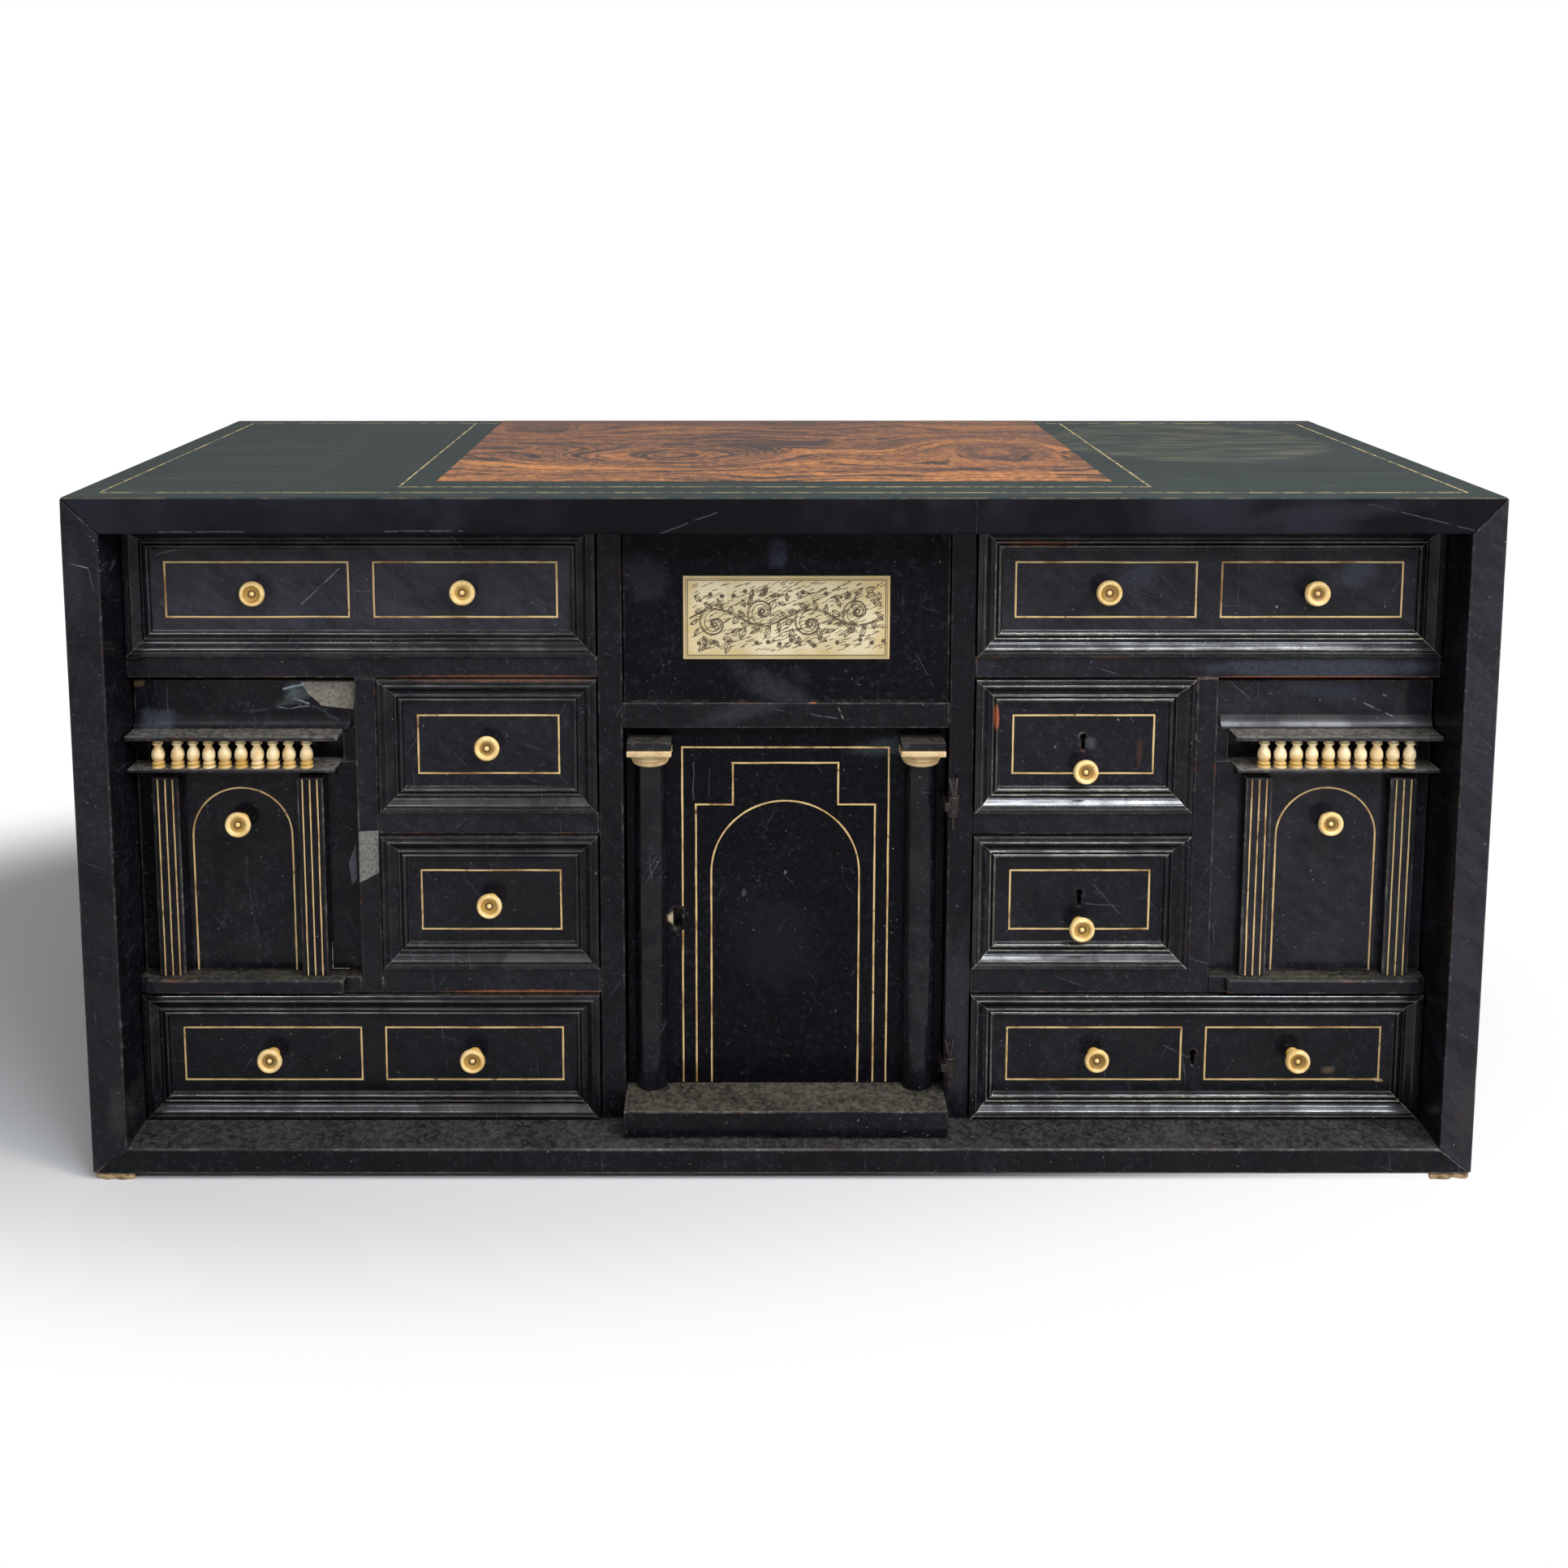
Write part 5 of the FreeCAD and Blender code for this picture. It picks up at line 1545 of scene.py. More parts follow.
@dataclass
class MouldedDrawer:
    """A drawer front with a mitred moulding, inlaid rectangles and turned knobs."""

    name: str
    long: bool
    keyhole: bool
    seed: int
    width: float = 16.7 * MM
    height: float = 6.5 * MM
    board: float = 9.0 * MM
    line: float = 1.12 * MM
    line_margin: float = 7.5 * MM
    line_gap: float = 15.0 * MM
    low_knob_rise: float = 4.6 * MM
    keyhole_rise: float = 4.5 * MM
    keyhole_radius: float = 2.2 * MM
    slot_half: float = 1.3 * MM
    slot_length: float = 8.8 * MM

    def section(self) -> tuple[Array, Array]:
        """The moulding's section and its marks: a band, a groove, an ogee, a fillet, a groove and a bead. The marks
        stand for wear and also for painted highlight lines along the arrises, the crown, the fillet and the bead.

        The ogee rises as a quarter of an ellipse and then follows a spline down into a hollow that
        turns up at its end. The bead is half of an ellipse.

        Returns:
            Rows of inset and height, and a mark for each.
        """
        t = np.linspace(0, 1, 9)
        band = np.array([(0, -0.3), (0, 0.92), (0.008, 0.975), (0.022, 1.0), (0.04, 1.0), (0.125, 1.0),
                         (0.143, 0.995), (0.152, 0.965), (0.156, 0.9), (0.16, 0.82), (0.172, 0.8), (0.19, 0.8)])
        crown = np.column_stack([0.19 + 0.07 * np.sin(t * math.pi / 2), 0.93 - 0.13 * np.cos(t * math.pi / 2)])
        sweep = spline([(0.26, 0.93), (0.305, 0.9), (0.35, 0.815), (0.42, 0.655), (0.49, 0.5), (0.55, 0.425),
                        (0.6, 0.42), (0.638, 0.47)], 3)[1:]
        fillet = np.array([(0.646, 0.5), (0.656, 0.51), (0.688, 0.51), (0.698, 0.49), (0.702, 0.25),
                           (0.712, 0.2), (0.748, 0.2)])
        bead = np.column_stack([0.846 - 0.09 * np.cos(t * math.pi), 0.2 + 0.26 * np.sin(t * math.pi)])
        foot = np.array([(0.94, 0.06), (0.955, 0.035), (0.985, 0.02), (1.0, 0.008), (1.0, -0.3)])
        shares = np.vstack([band, crown, sweep, fillet, bead, foot])
        marks = np.concatenate([
            [0.0, 0.45, 0.6, 0.5, 0.2, 0.2, 0.5, 0.6, 0.2, 0.0, 0.0, 0.0],
            np.sin(np.linspace(0.15, 1, len(crown)) * math.pi / 2) ** 2, np.linspace(0.55, 0.0, len(sweep)) ** 2,
            [0.5, 0.75, 0.75, 0.5, 0.1, 0.0, 0.0],
            0.05 + 0.65 * np.sin(t * math.pi) ** 3, [0, 0, 0.2, 0.3, 0],
        ])
        return shares * np.array([self.width, self.height]), marks

    def frames(self, xs: Pair, zs: Pair) -> list[tuple]:
        """The X and Z spans of the inlaid rectangles.

        Args:
            xs: The front's left and right.
            zs: Its foot and head.

        Returns:
            A pair of spans for each rectangle.
        """
        inset = self.width + self.line_margin
        left, right, low, high = xs[0] + inset, xs[1] - inset, zs[0] + inset, zs[1] - inset
        if not self.long:
            return [((left, right), (low, high))]
        middle = (left + right) / 2
        return [((left, middle - self.line_gap / 2), (low, high)),
                ((middle + self.line_gap / 2, right), (low, high))]

    def build(self) -> None:
        """Build the front, its moulding, its lines and its knobs."""
        low, high = span(self.name + "_front")
        xs, zs = (low[0], high[0]), (low[2], high[2])
        face_y = high[1] - self.board
        finish = Ebonised("black_" + self.name, dust=0.35, rub=0.6, browning=0.5, seed=self.seed * 1.7,
                          gloss=0.26, painted_sheen=PAINTED_SHEENS.get(self.name, 0.06), scars_and_sheens=SCARS_AND_SHEENS.get(self.name, ()))
        Shell().add(*self.front_board(xs, zs, face_y, high[1])).piece(
            self.name + "_board", self.name, Slot.BLACK, finish.dress(), (self.name + "_front",), flat=True)
        section, marks = self.section()
        left = "left" in self.name
        # Painted highlight: the moulding's pale marks are wear and also highlight lines; the foot keeps most of them,
        # and the right bank's colour is a far paler cream than the left's, as lit and shaded copies for light from the
        # right and above.
        wear = (0.85, 0.5, 0.6, 0.6) if left else (1.0, 0.5, 0.8, 0.75)
        ring = carried_round(xs, zs, section, marks, face_y, 4.5 * MM, self.seed, wear)
        polished = replace(finish, name=finish.name + "_moulding", polish=1.0, gloss=0.26, hazy=0.3,
                           even=0.4, dust=0.5 if left else 0.25, rub=0.7 if left else 0.85, upward=0.72, hollow=0.5,
                           coat=1.9 if left else 1.95, coat_rough=0.17, smooth=True, painted_sheen=0.0,
                           rubbed=tone(140, 136, 134) if left else tone(214, 206, 182))
        Shell().add(ring).piece(self.name + "_moulding", self.name, Slot.BLACK, polished.dress())
        self.bone(xs, zs, face_y)

    def bone(self, xs: Pair, zs: Pair, face_y: float) -> None:
        """The inlaid rectangles and the knobs on them.

        Args:
            xs: The front's left and right.
            zs: Its foot and head.
            face_y: Its face.
        """
        lines, knobs = Shell(), Shell()
        for number, (frame_xs, frame_zs) in enumerate(self.frames(xs, zs)):
            half = self.line / 2
            left, right = frame_xs[0] + half, frame_xs[1] - half
            foot, head = frame_zs[0] + half, frame_zs[1] - half
            path = filled([(left, foot), (right, foot), (right, head), (left, head)], 5 * MM, True)
            lines.add(*inlaid_line(path, True, self.line, face_y, Face.FRONT, self.seed * 10 + number))
            low_knob = self.keyhole and not self.long
            z = frame_zs[0] + self.low_knob_rise if low_knob else sum(frame_zs) / 2
            knobs.add(TurnedKnob().grid(sum(frame_xs) / 2, face_y, z, self.seed * 10 + number))
        lines.piece(self.name + "_lines", self.name, Slot.BONE, shared(LINE_BONE), (self.name + "_bone",))
        knobs.piece(self.name + "_knobs", self.name, Slot.BONE, shared(KNOB_BONE))

    def front_board(self, xs: Pair, zs: Pair, near: float, far: float) -> list[Grid]:
        """The front board, with a keyhole where the drawer locks.

        Args:
            xs: The board's left and right.
            zs: Its foot and head.
            near: Its front face.
            far: Its back face.

        Returns:
            Its grids.
        """
        if not self.keyhole:
            return block((xs[0], near, zs[0]), (xs[1], far, zs[1]), 0.6 * MM)
        rise = 0 if self.long else self.keyhole_rise
        return pierced_board(sum(xs) / 2, sum(zs) / 2 + rise, xs, zs, near, far, self.keyhole_radius,
                             self.slot_half, self.slot_length, self.seed)


def pierced_board(x: float, z: float, xs: Pair, zs: Pair, near: float,
                  far: float, radius: float, half: float, length: float, seed: int) -> list[Grid]:
    """A board with a keyhole: a ring that runs from the hole's wall over both faces to the edges.

    The hole's outline is, along each ray, the further of a circle and a slot below it, made a
    little ragged. The outer ring is where the same ray meets the rectangle.

    Args:
        x: The middle of the keyhole's head.
        z: Its height.
        xs: The board's left and right.
        zs: Its foot and head.
        near: Its front face.
        far: Its back face.
        radius: The radius of the keyhole's head.
        half: Half of the slot's width.
        length: How far the slot reaches below the middle of the head.
        seed: The seed of the hole's ragged rim.

    Returns:
        The board's grid, closed both ways.
    """
    corners = np.arctan2([zs[0] - z, zs[0] - z, zs[1] - z, zs[1] - z], [xs[0] - x, xs[1] - x, xs[1] - x, xs[0] - x])
    slots = np.arctan2(-length, [-half, half])
    even = np.linspace(-math.pi, math.pi, 72, endpoint=False)
    angle = np.unique(np.concatenate([even, corners, slots]))
    cos, sin = np.cos(angle), np.sin(angle)
    tiny = 1e-9
    slot = np.minimum(half / (np.abs(cos) + tiny), length / (np.abs(sin) + tiny))
    hole = np.where(sin < 0, np.maximum(radius, slot), radius)
    places = np.column_stack([x + hole * cos, np.full(len(angle), near), z + hole * sin])
    hole = hole * (1 + 0.05 * ripple(places, 3 * MM, seed))
    reach_x = np.where(cos > 0, xs[1] - x, x - xs[0]) / (np.abs(cos) + tiny)
    reach_z = np.where(sin > 0, zs[1] - z, z - zs[0]) / (np.abs(sin) + tiny)
    edge = np.minimum(reach_x, reach_z)
    soft = 0.5 * MM
    rings = [
        (hole, far, 0.0), (hole, near + soft, 1.0), (hole + soft, near, 1.0), (hole + 2.2 * MM, near, 0.2),
        (hole + 5 * MM, near, 0.0), (edge - soft, near, 0.0), (edge, near + soft, 0.5), (edge, far - soft, 0.3),
        (edge - soft, far, 0.0),
    ]
    reach = np.stack([ring[0] for ring in rings])
    depth = np.array([ring[1] for ring in rings])[:, None]
    points = np.stack([x + reach * cos, np.broadcast_to(depth, reach.shape), z + reach * sin], axis=-1)
    mark = np.broadcast_to(np.array([ring[2] for ring in rings])[:, None], reach.shape)
    return [Grid(points, close_rows=True, close_columns=True, mark=mark)]


@dataclass
class Baluster:
    """A small vase-shaped baluster on a ringed foot."""

    radius: float = 4.25 * MM
    height: float = 19.0 * MM
    sides: int = 26
    outline: tuple[Pair, ...] = (
        (0.0, 0.0), (0.94, 0.0), (1.0, 0.02), (1.0, 0.06), (0.88, 0.09), (0.86, 0.11), (0.96, 0.13), (0.94, 0.18),
        (0.74, 0.2), (0.73, 0.23), (0.86, 0.28), (0.97, 0.36), (0.99, 0.44), (0.93, 0.53), (0.8, 0.61),
        (0.62, 0.67), (0.53, 0.72), (0.55, 0.76), (0.7, 0.79), (0.82, 0.815), (0.82, 0.85), (0.7, 0.88),
        (0.68, 0.94), (0.7, 1.0), (0.0, 1.0),
    )

    def grid(self, x: float, y: float, foot: float, seed: int) -> Grid:
        """One baluster: the outline turned round an upright axis.

        Args:
            x: Its place across.
            y: Its place in depth.
            foot: The shelf that it stands on.
            seed: The seed of its own slight differences.

        Returns:
            Its grid, marked where it is stained.
        """
        rng = np.random.default_rng(seed)
        share = spline(list(self.outline), 2)
        profile = np.maximum(share, 0) * np.array([self.radius * rng.uniform(0.93, 1.0), self.height])
        stain = 0.3 * np.clip(1.2 - 2.6 * np.abs(share[:, 1] - 0.15), 0, 1) + rng.uniform(0.0, 0.18)
        stain = stain + 0.35 * np.exp(-((share[:, 1] - 0.11) / 0.02) ** 2)
        grid = turned(profile, np.array([x, y, foot]), UP, RIGHT, self.sides, stain)
        grid.points[..., 0] += rng.uniform(-0.02, 0.02) * (grid.points[..., 2] - foot)
        return grid


@dataclass
class ArcadedDrawer:
    """A tall drawer front: a fascia, a gallery of balusters, pilasters and a round-headed panel."""

    name: str
    sign: int
    seed: int
    board: float = 11.0 * MM
    shift: float = 4.4 * MM
    upper_drop: float = 33.5 * MM
    upper_thick: float = 3.3 * MM
    upper_out: float = 21.0 * MM
    upper_end: float = 7.5 * MM
    lower_thick: float = 2.6 * MM
    lower_out: float = 18.0 * MM
    lower_end: float = 10.5 * MM
    gallery: float = 19.0 * MM
    pocket: float = 7.0 * MM
    cheek: float = 9.0 * MM
    bed: float = 7.0 * MM
    bed_out: float = 10.0 * MM
    bed_end: float = 13.5 * MM
    cove: Pair = (4.6 * MM, 8.5 * MM)
    cove_end: float = 3.0 * MM
    head_drop: float = 2.6 * MM
    stray: float = 2.0 * MM
    pilaster: float = 17.0 * MM
    pilaster_out: float = 8.0 * MM
    pilaster_offset: float = 46.4 * MM
    line: float = 1.08 * MM
    line_pitch: float = 4.75 * MM
    arch_radius: float = 32.7 * MM
    arch_gap: float = 8.4 * MM
    knob_gap: float = 30.1 * MM
    balusters: int = 10
    baluster_pitch: float = 10.25 * MM
    baluster_setback: float = 4.8 * MM

    def build(self) -> None:
        """Build the front, the gallery, the lines and the knob."""
        low, high = span(self.name + "_front")
        self.face_y = high[1] - self.board
        self.xs = (low[0], high[0])
        self.zs = (low[2], high[2])
        box_low, box_high = span(self.name + "_box")
        self.centre = (box_low[0] + box_high[0]) / 2 + self.sign * self.shift
        self.upper = self.zs[1] - self.upper_drop
        self.lower = self.upper - self.upper_thick - self.gallery
        self.bed_low = self.lower - self.lower_thick - self.bed
        self.wood(high[1])
        self.hollow()
        self.inlay()
        self.gallery_row()

    def run(self, end_gap: float) -> Pair:
        """The outer end of the front and a place near its inner end."""
        outer, inner = self.xs[::self.sign * -1]
        return outer, inner + self.sign * end_gap

    def shelf(self, end_gap: float, top: float, thick: float, out: float, radius: float, seed: int) -> list[Grid]:
        """A thin shelf from the outer end of the front to near its inner end.

        Args:
            end_gap: How far it stops short of the inner end.
            top: Its upper face.
            thick: Its thickness.
            out: How far it stands out.
            radius: The radius of its arrises.
            seed: The seed of its knocks.

        Returns:
            Its grids.
        """
        outer, inner = self.run(end_gap)
        left, right = sorted((outer, inner))
        return block((left, self.face_y - out, top - thick), (right, self.face_y + 1 * MM, top), radius, 9 * MM,
                     chip=0.5 * MM, seed=seed)

    def wood(self, back_y: float) -> None:
        """The boards: lower panel, fascia, the recess between them, shelves, moulding and pilasters.

        Args:
            back_y: The back of the front.
        """
        x0, x1 = self.xs
        foot, head = self.zs
        cheek = self.cheek
        shell = Shell()
        face = self.face_y
        shell.add(*block((x0, face, foot), (x1, back_y, self.lower - 0.5 * MM), 0.7 * MM, seed=self.seed))
        shell.add(*block((x0, face, self.upper - 0.8 * MM), (x1, back_y, head - self.head_drop), 0.8 * MM,
                         chip=0.7 * MM, seed=self.seed))
        for edge in ((x0, x0 + cheek), (x1 - cheek, x1)):
            shell.add(*block((edge[0], face, self.lower - 1 * MM), (edge[1], back_y, self.upper), 0.4 * MM))
        shell.add(*block((x0 + 1 * MM, face + self.pocket, self.lower - 2 * MM),
                         (x1 - 1 * MM, back_y, self.upper + 1 * MM), 0.3 * MM))
        shell.add(*self.shelf(self.upper_end, self.upper, self.upper_thick, self.upper_out, 1.2 * MM, self.seed + 1))
        shell.add(*self.shelf(self.lower_end, self.lower, self.lower_thick, self.lower_out, 1.0 * MM, self.seed + 2))
        shell.add(*self.bed_moulding())
        for offset in (-self.pilaster_offset, self.pilaster_offset):
            middle = self.centre + offset
            shell.add(*block((middle - self.pilaster / 2, face - self.pilaster_out, foot),
                             (middle + self.pilaster / 2, face + 1 * MM, self.bed_low + 0.5 * MM), 0.9 * MM,
                             chip=0.5 * MM, seed=self.seed + 5))
        shell.piece(self.name + "_arcade", self.name, Slot.BLACK, self.finish().dress(), (self.name + "_front",),
                    flat=True)

    def finish(self) -> Ebonised:
        """The front's own black finish.

        Returns:
            The finish.
        """
        right = self.sign > 0
        return Ebonised("black_" + self.name, grain=(120.0, 120.0, 9.0), dust=0.95, rub=0.6, browning=0.4,
                        seed=self.seed * 2.3, gloss=0.28, polish=0.3 if right else 0.18, even=0.35,
                        painted_sheen=0.18 if right else 0.0, dust_colour=tone(124, 118, 108),
                        raw_from=self.zs[1] - self.head_drop,
                        raw=tone(132, 84, 62) if right else tone(84, 54, 44), scars_and_sheens=SCARS_AND_SHEENS.get(self.name, ()))

    def hollow(self) -> None:
        """A polished quarter hollow where the fascia meets the upper shelf."""
        t = np.linspace(0, math.pi / 2, 13)
        out, high = self.cove
        curve = np.column_stack([out * (1 - np.cos(t)) - 0.02 * MM, self.upper + high * (1 - np.sin(t))])
        section = np.vstack([[(-0.6 * MM, curve[0, 1])], curve,
                             [(out, self.upper - 0.3 * MM), (-0.6 * MM, self.upper - 0.3 * MM)]])
        right = self.sign > 0
        polished = replace(self.finish(), name=f"black_{self.name}_hollow", polish=0.8 if right else 0.3, gloss=0.3,
                           dust=0.1, rub=0.2, coat=1.8 if right else 1.5, coat_rough=0.34)
        Shell().add(*self.strip(section, np.zeros(len(section)), self.cove_end)).piece(
            self.name + "_hollow", self.name, Slot.BLACK, polished.dress())

    def strip(self, section: Array, marks: Array, end_gap: float) -> list[Grid]:
        """A section of out and height run from the outer end of the front to near its inner end.

        Args:
            section: Rows of out and height, round a closed outline.
            marks: The mark at each point of it.
            end_gap: How far it stops short of the inner end.

        Returns:
            Its grids.
        """
        outer, inner = self.run(end_gap)
        x = np.linspace(outer, inner, 16)
        points = np.empty((len(x), len(section), 3))
        points[..., 0] = x[:, None]
        points[..., 1] = self.face_y - section[:, 0]
        points[..., 2] = section[:, 1]
        band = Grid(points, close_columns=True, mark=np.broadcast_to(marks, points.shape[:2]))
        return [band, band.cap(0), band.cap(-1)]

    def bed_moulding(self) -> list[Grid]:
        """The moulding under the lower shelf: a lip over a hollow that is a quarter of a circle.

        Returns:
            Its grids.
        """
        t = np.linspace(0, math.pi / 2, 8)
        lip = 0.28
        hollow = np.column_stack([1 - np.sin(t) * 0.86, lip + (1 - lip) * (1 - np.cos(t))])
        shares = np.vstack([[(-0.1, 0.0), (1.0, 0.0), (1.0, lip)], hollow[1:], [(0.08, 1.0), (-0.1, 1.0)]])
        top = self.lower - self.lower_thick + 0.2 * MM
        section = np.column_stack([shares[:, 0] * self.bed_out, top - shares[:, 1] * self.bed])
        return self.strip(section, np.where(shares[:, 0] > 0.95, 0.9, 0.2), self.bed_end)

    def inlay(self) -> None:
        """The arched line, three lines on each pilaster, and the knob."""
        foot = self.zs[0] + 0.4 * MM
        spring = self.bed_low - self.arch_gap - self.arch_radius
        radius = self.arch_radius - self.line / 2
        path = arched(self.centre, radius, foot, spring, 5 * MM, 34)
        shell = Shell()
        shell.add(*inlaid_line(path, False, self.line, self.face_y, Face.FRONT, self.seed))
        for offset in (-self.pilaster_offset, self.pilaster_offset):
            for place in (-self.line_pitch, 0.0, self.line_pitch):
                x = self.centre + offset + place
                run = filled([(x, foot), (x, self.bed_low - 0.6 * MM)], 5 * MM, False)
                shell.add(*inlaid_line(run, False, self.line * 0.8, self.face_y - self.pilaster_out, Face.FRONT,
                                       self.seed + round(abs(x) * 1000)))
        shell.piece(self.name + "_lines", self.name, Slot.BONE, shared(LINE_BONE), (self.name + "_bone",))
        knob = TurnedKnob().grid(self.centre, self.face_y, self.bed_low - self.knob_gap, self.seed + 7)
        Shell().add(knob).piece(self.name + "_knob", self.name, Slot.BONE, shared(KNOB_BONE))

    def gallery_row(self) -> None:
        """The row of balusters between the shelves."""
        y = self.face_y - self.lower_out + self.baluster_setback
        first = self.centre - self.baluster_pitch * (self.balusters - 1) / 2
        shell = Shell()
        rng = np.random.default_rng(self.seed)
        places = first + np.arange(self.balusters) * self.baluster_pitch + rng.uniform(-0.35, 0.35, self.balusters) * MM
        places[0] -= self.stray if self.sign < 0 else 0
        for number, x in enumerate(places):
            shell.add(Baluster().grid(x, y, self.lower, self.seed * 20 + number))
        shell.piece(self.name + "_baluster_row", self.name, Slot.BONE, shared(BALUSTER_BONE),
                    (self.name + "_balusters",))


@dataclass
class FriezeDrawer:
    """The plain drawer over the door and its engraved plaque."""

    name: str = "frieze_drawer"
    cell: float = 0.32 * MM
    cut: float = 0.12 * MM

    def build(self) -> None:
        """Build the front board and the plaque."""
        low, high = span(self.name + "_front")
        finish = Ebonised("black_frieze", dust=0.3, rub=0.45, browning=0.2, seed=31, gloss=0.36, polish=0.05,
                          hazy=0.25, base_shine=0.035, scars_and_sheens=SCARS_AND_SHEENS.get(self.name, ()))
        grids = block(low, high, 0.8 * MM, chip=0.5 * MM, seed=21)
        Shell().add(*grids).piece(self.name + "_board", self.name, Slot.BLACK, finish.dress(),
                                  (self.name + "_front",), flat=True)
        self.plaque()

    def plaque(self) -> None:
        """The plaque: a flat grid sunk along its engraved lines, with its rim turned back."""
        low, high = span(self.name + "_plaque")
        x = np.linspace(low[0], high[0], round((high[0] - low[0]) / self.cell))
        z = np.linspace(low[2], high[2], round((high[2] - low[2]) / self.cell))
        ink = Engraving(high[0] - low[0], high[2] - low[2]).ink(len(x), len(z))
        points = np.empty((len(z), len(x), 3))
        points[..., 0] = x
        points[..., 2] = z[:, None]
        rim = np.minimum(np.minimum(points[..., 0] - low[0], high[0] - points[..., 0]),
                         np.minimum(points[..., 2] - low[2], high[2] - points[..., 2]))
        round_over = 0.5 * MM * np.clip(1 - rim / (0.8 * MM), 0, 1) ** 2
        points[..., 1] = low[1] + self.cut * ink + round_over
        skirt = np.pad(points, ((1, 1), (1, 1), (0, 0)), mode="edge")
        edge = np.ones(skirt.shape[:2], bool)
        edge[1:-1, 1:-1] = False
        skirt[edge, 1] = high[1]
        mark = np.pad(ink, 1)
        front = Grid(skirt, mark=mark)
        ring = np.concatenate([skirt[0, :-1], skirt[:-1, -1], skirt[-1, :0:-1], skirt[:0:-1, 0]])
        hub = np.broadcast_to(np.array([(low[0] + high[0]) / 2, high[1], (low[2] + high[2]) / 2]), ring.shape)
        back = Grid(np.stack([ring, hub]), close_columns=True)
        Shell().add(front, back).piece(self.name + "_plaque_plate", self.name, Slot.PLAQUE,
                                       EngravedBone().dress(), (self.name + "_plaque",))


@dataclass
class Engraving:
    """A pattern of scrolls and leaves for a small plate, drawn as many fine strokes."""

    width: float
    height: float
    step: float = 0.12 * MM

    def scroll(self, x: float, z: float, radius: float, start: float, turns: float, spin: int) -> Array:
        """A spiral whose radius shrinks by an even share each turn.

        Args:
            x: Its middle across.
            z: Its middle's height.
            radius: Its outer radius.
            start: The angle that it starts at.
            turns: How many turns it has.
            spin: 1 or -1, the way that it turns.

        Returns:
            The stroke's points.
        """
        t = np.linspace(0, turns * FULL_TURN, 900)
        r = radius * np.exp(-0.21 * t)
        angle = start + spin * t
        return np.column_stack([x + r * np.cos(angle), z + r * np.sin(angle)])

    def leaf(self, x: float, z: float, angle: float, length: float, belly: float) -> Array:
        """A pointed leaf: two bowed sides and a midrib.

        Args:
            x: Its root across.
            z: Its root's height.
            angle: The way that it points.
            length: Its length.
            belly: Half of its width.

        Returns:
            The strokes' points.
        """
        t = np.linspace(0, 1, 120)
        bow = belly * np.sin(math.pi * t)
        sides = [np.column_stack([t * length, bow]), np.column_stack([t * length, -bow * 0.7]),
                 np.column_stack([t * length * 0.9, bow * 0.1])]
        shape = np.vstack(sides)
        cos, sin = math.cos(angle), math.sin(angle)
        return shape @ np.array([[cos, sin], [-sin, cos]]) + np.array([x, z])

    def strokes(self) -> list[Array]:
        """Every stroke of the pattern: a frame, a waving stem, its scrolls, leaves, berries and hatching.

        Returns:
            The points of each stroke, from the plate's middle.
        """
        w, h = self.width / 2, self.height / 2
        rng = np.random.default_rng(8)
        drawn = []
        for inset in (1.6 * MM, 2.7 * MM):
            a, b = w - inset, h - inset
            drawn.append(filled([(-a, -b), (a, -b), (a, b), (-a, b)], self.step, True))
        x = np.linspace(-w + 4 * MM, w - 4 * MM, 2400)
        wave = 5.2 * MM * np.sin(x / (w * 0.46) * math.pi)
        drawn.append(np.column_stack([x, wave]))
        drawn.append(np.column_stack([x, wave + 0.9 * MM + 0.3 * MM * np.sin(x / (3 * MM))]))
        pitch = w * 0.46
        for number in range(-2, 2):
            middle = (number + 0.5) * pitch
            side = 1 if number % 2 == 0 else -1
            for radius in (13.5 * MM, 12.4 * MM, 9.2 * MM):
                drawn.append(self.scroll(middle, -side * 4 * MM, radius, side * math.pi / 2, 1.9, side))
            drawn += self.rosette(middle, -side * 4 * MM, 3.4 * MM)
            for turn in np.linspace(0, FULL_TURN, 11, endpoint=False):
                reach = 11.5 * MM
                place = (middle + reach * math.cos(turn), -side * 4 * MM + reach * math.sin(turn) * 0.92)
                drawn.append(self.leaf(*place, turn + side * 0.9, rng.uniform(5, 8) * MM, rng.uniform(1.2, 2) * MM))
        for place in np.linspace(-w + 7 * MM, w - 7 * MM, 17):
            up = rng.choice([-1, 1])
            drawn.append(self.leaf(place, up * rng.uniform(12, 17) * MM, rng.uniform(0, FULL_TURN),
                                   rng.uniform(5, 9) * MM, rng.uniform(1.2, 2.4) * MM))
            drawn += self.rosette(place + 3 * MM, -up * rng.uniform(14, 18) * MM, 1.2 * MM)
        for _ in range(520):
            start = rng.uniform([-w + 5 * MM, -h + 5 * MM], [w - 5 * MM, h - 5 * MM])
            t = np.linspace(0, rng.uniform(2, 5) * MM, 30)
            slope = rng.uniform(0.25, 0.6)
            drawn.append(start + np.column_stack([t, t * slope]))
        return [s[(np.abs(s[:, 0]) < w - 1.4 * MM) & (np.abs(s[:, 1]) < h - 1.4 * MM)] for s in drawn]

    def rosette(self, x: float, z: float, radius: float) -> list[Array]:
        """Rings with petals between them.

        Args:
            x: Its middle across.
            z: Its middle's height.
            radius: Its radius.

        Returns:
            Its strokes.
        """
        t = np.linspace(0, FULL_TURN, 240)
        petal = radius * (0.72 + 0.28 * np.abs(np.cos(2.5 * t)))
        return [np.column_stack([x + reach * np.cos(t), z + reach * np.sin(t)]) for reach in (petal, radius * 0.35)]

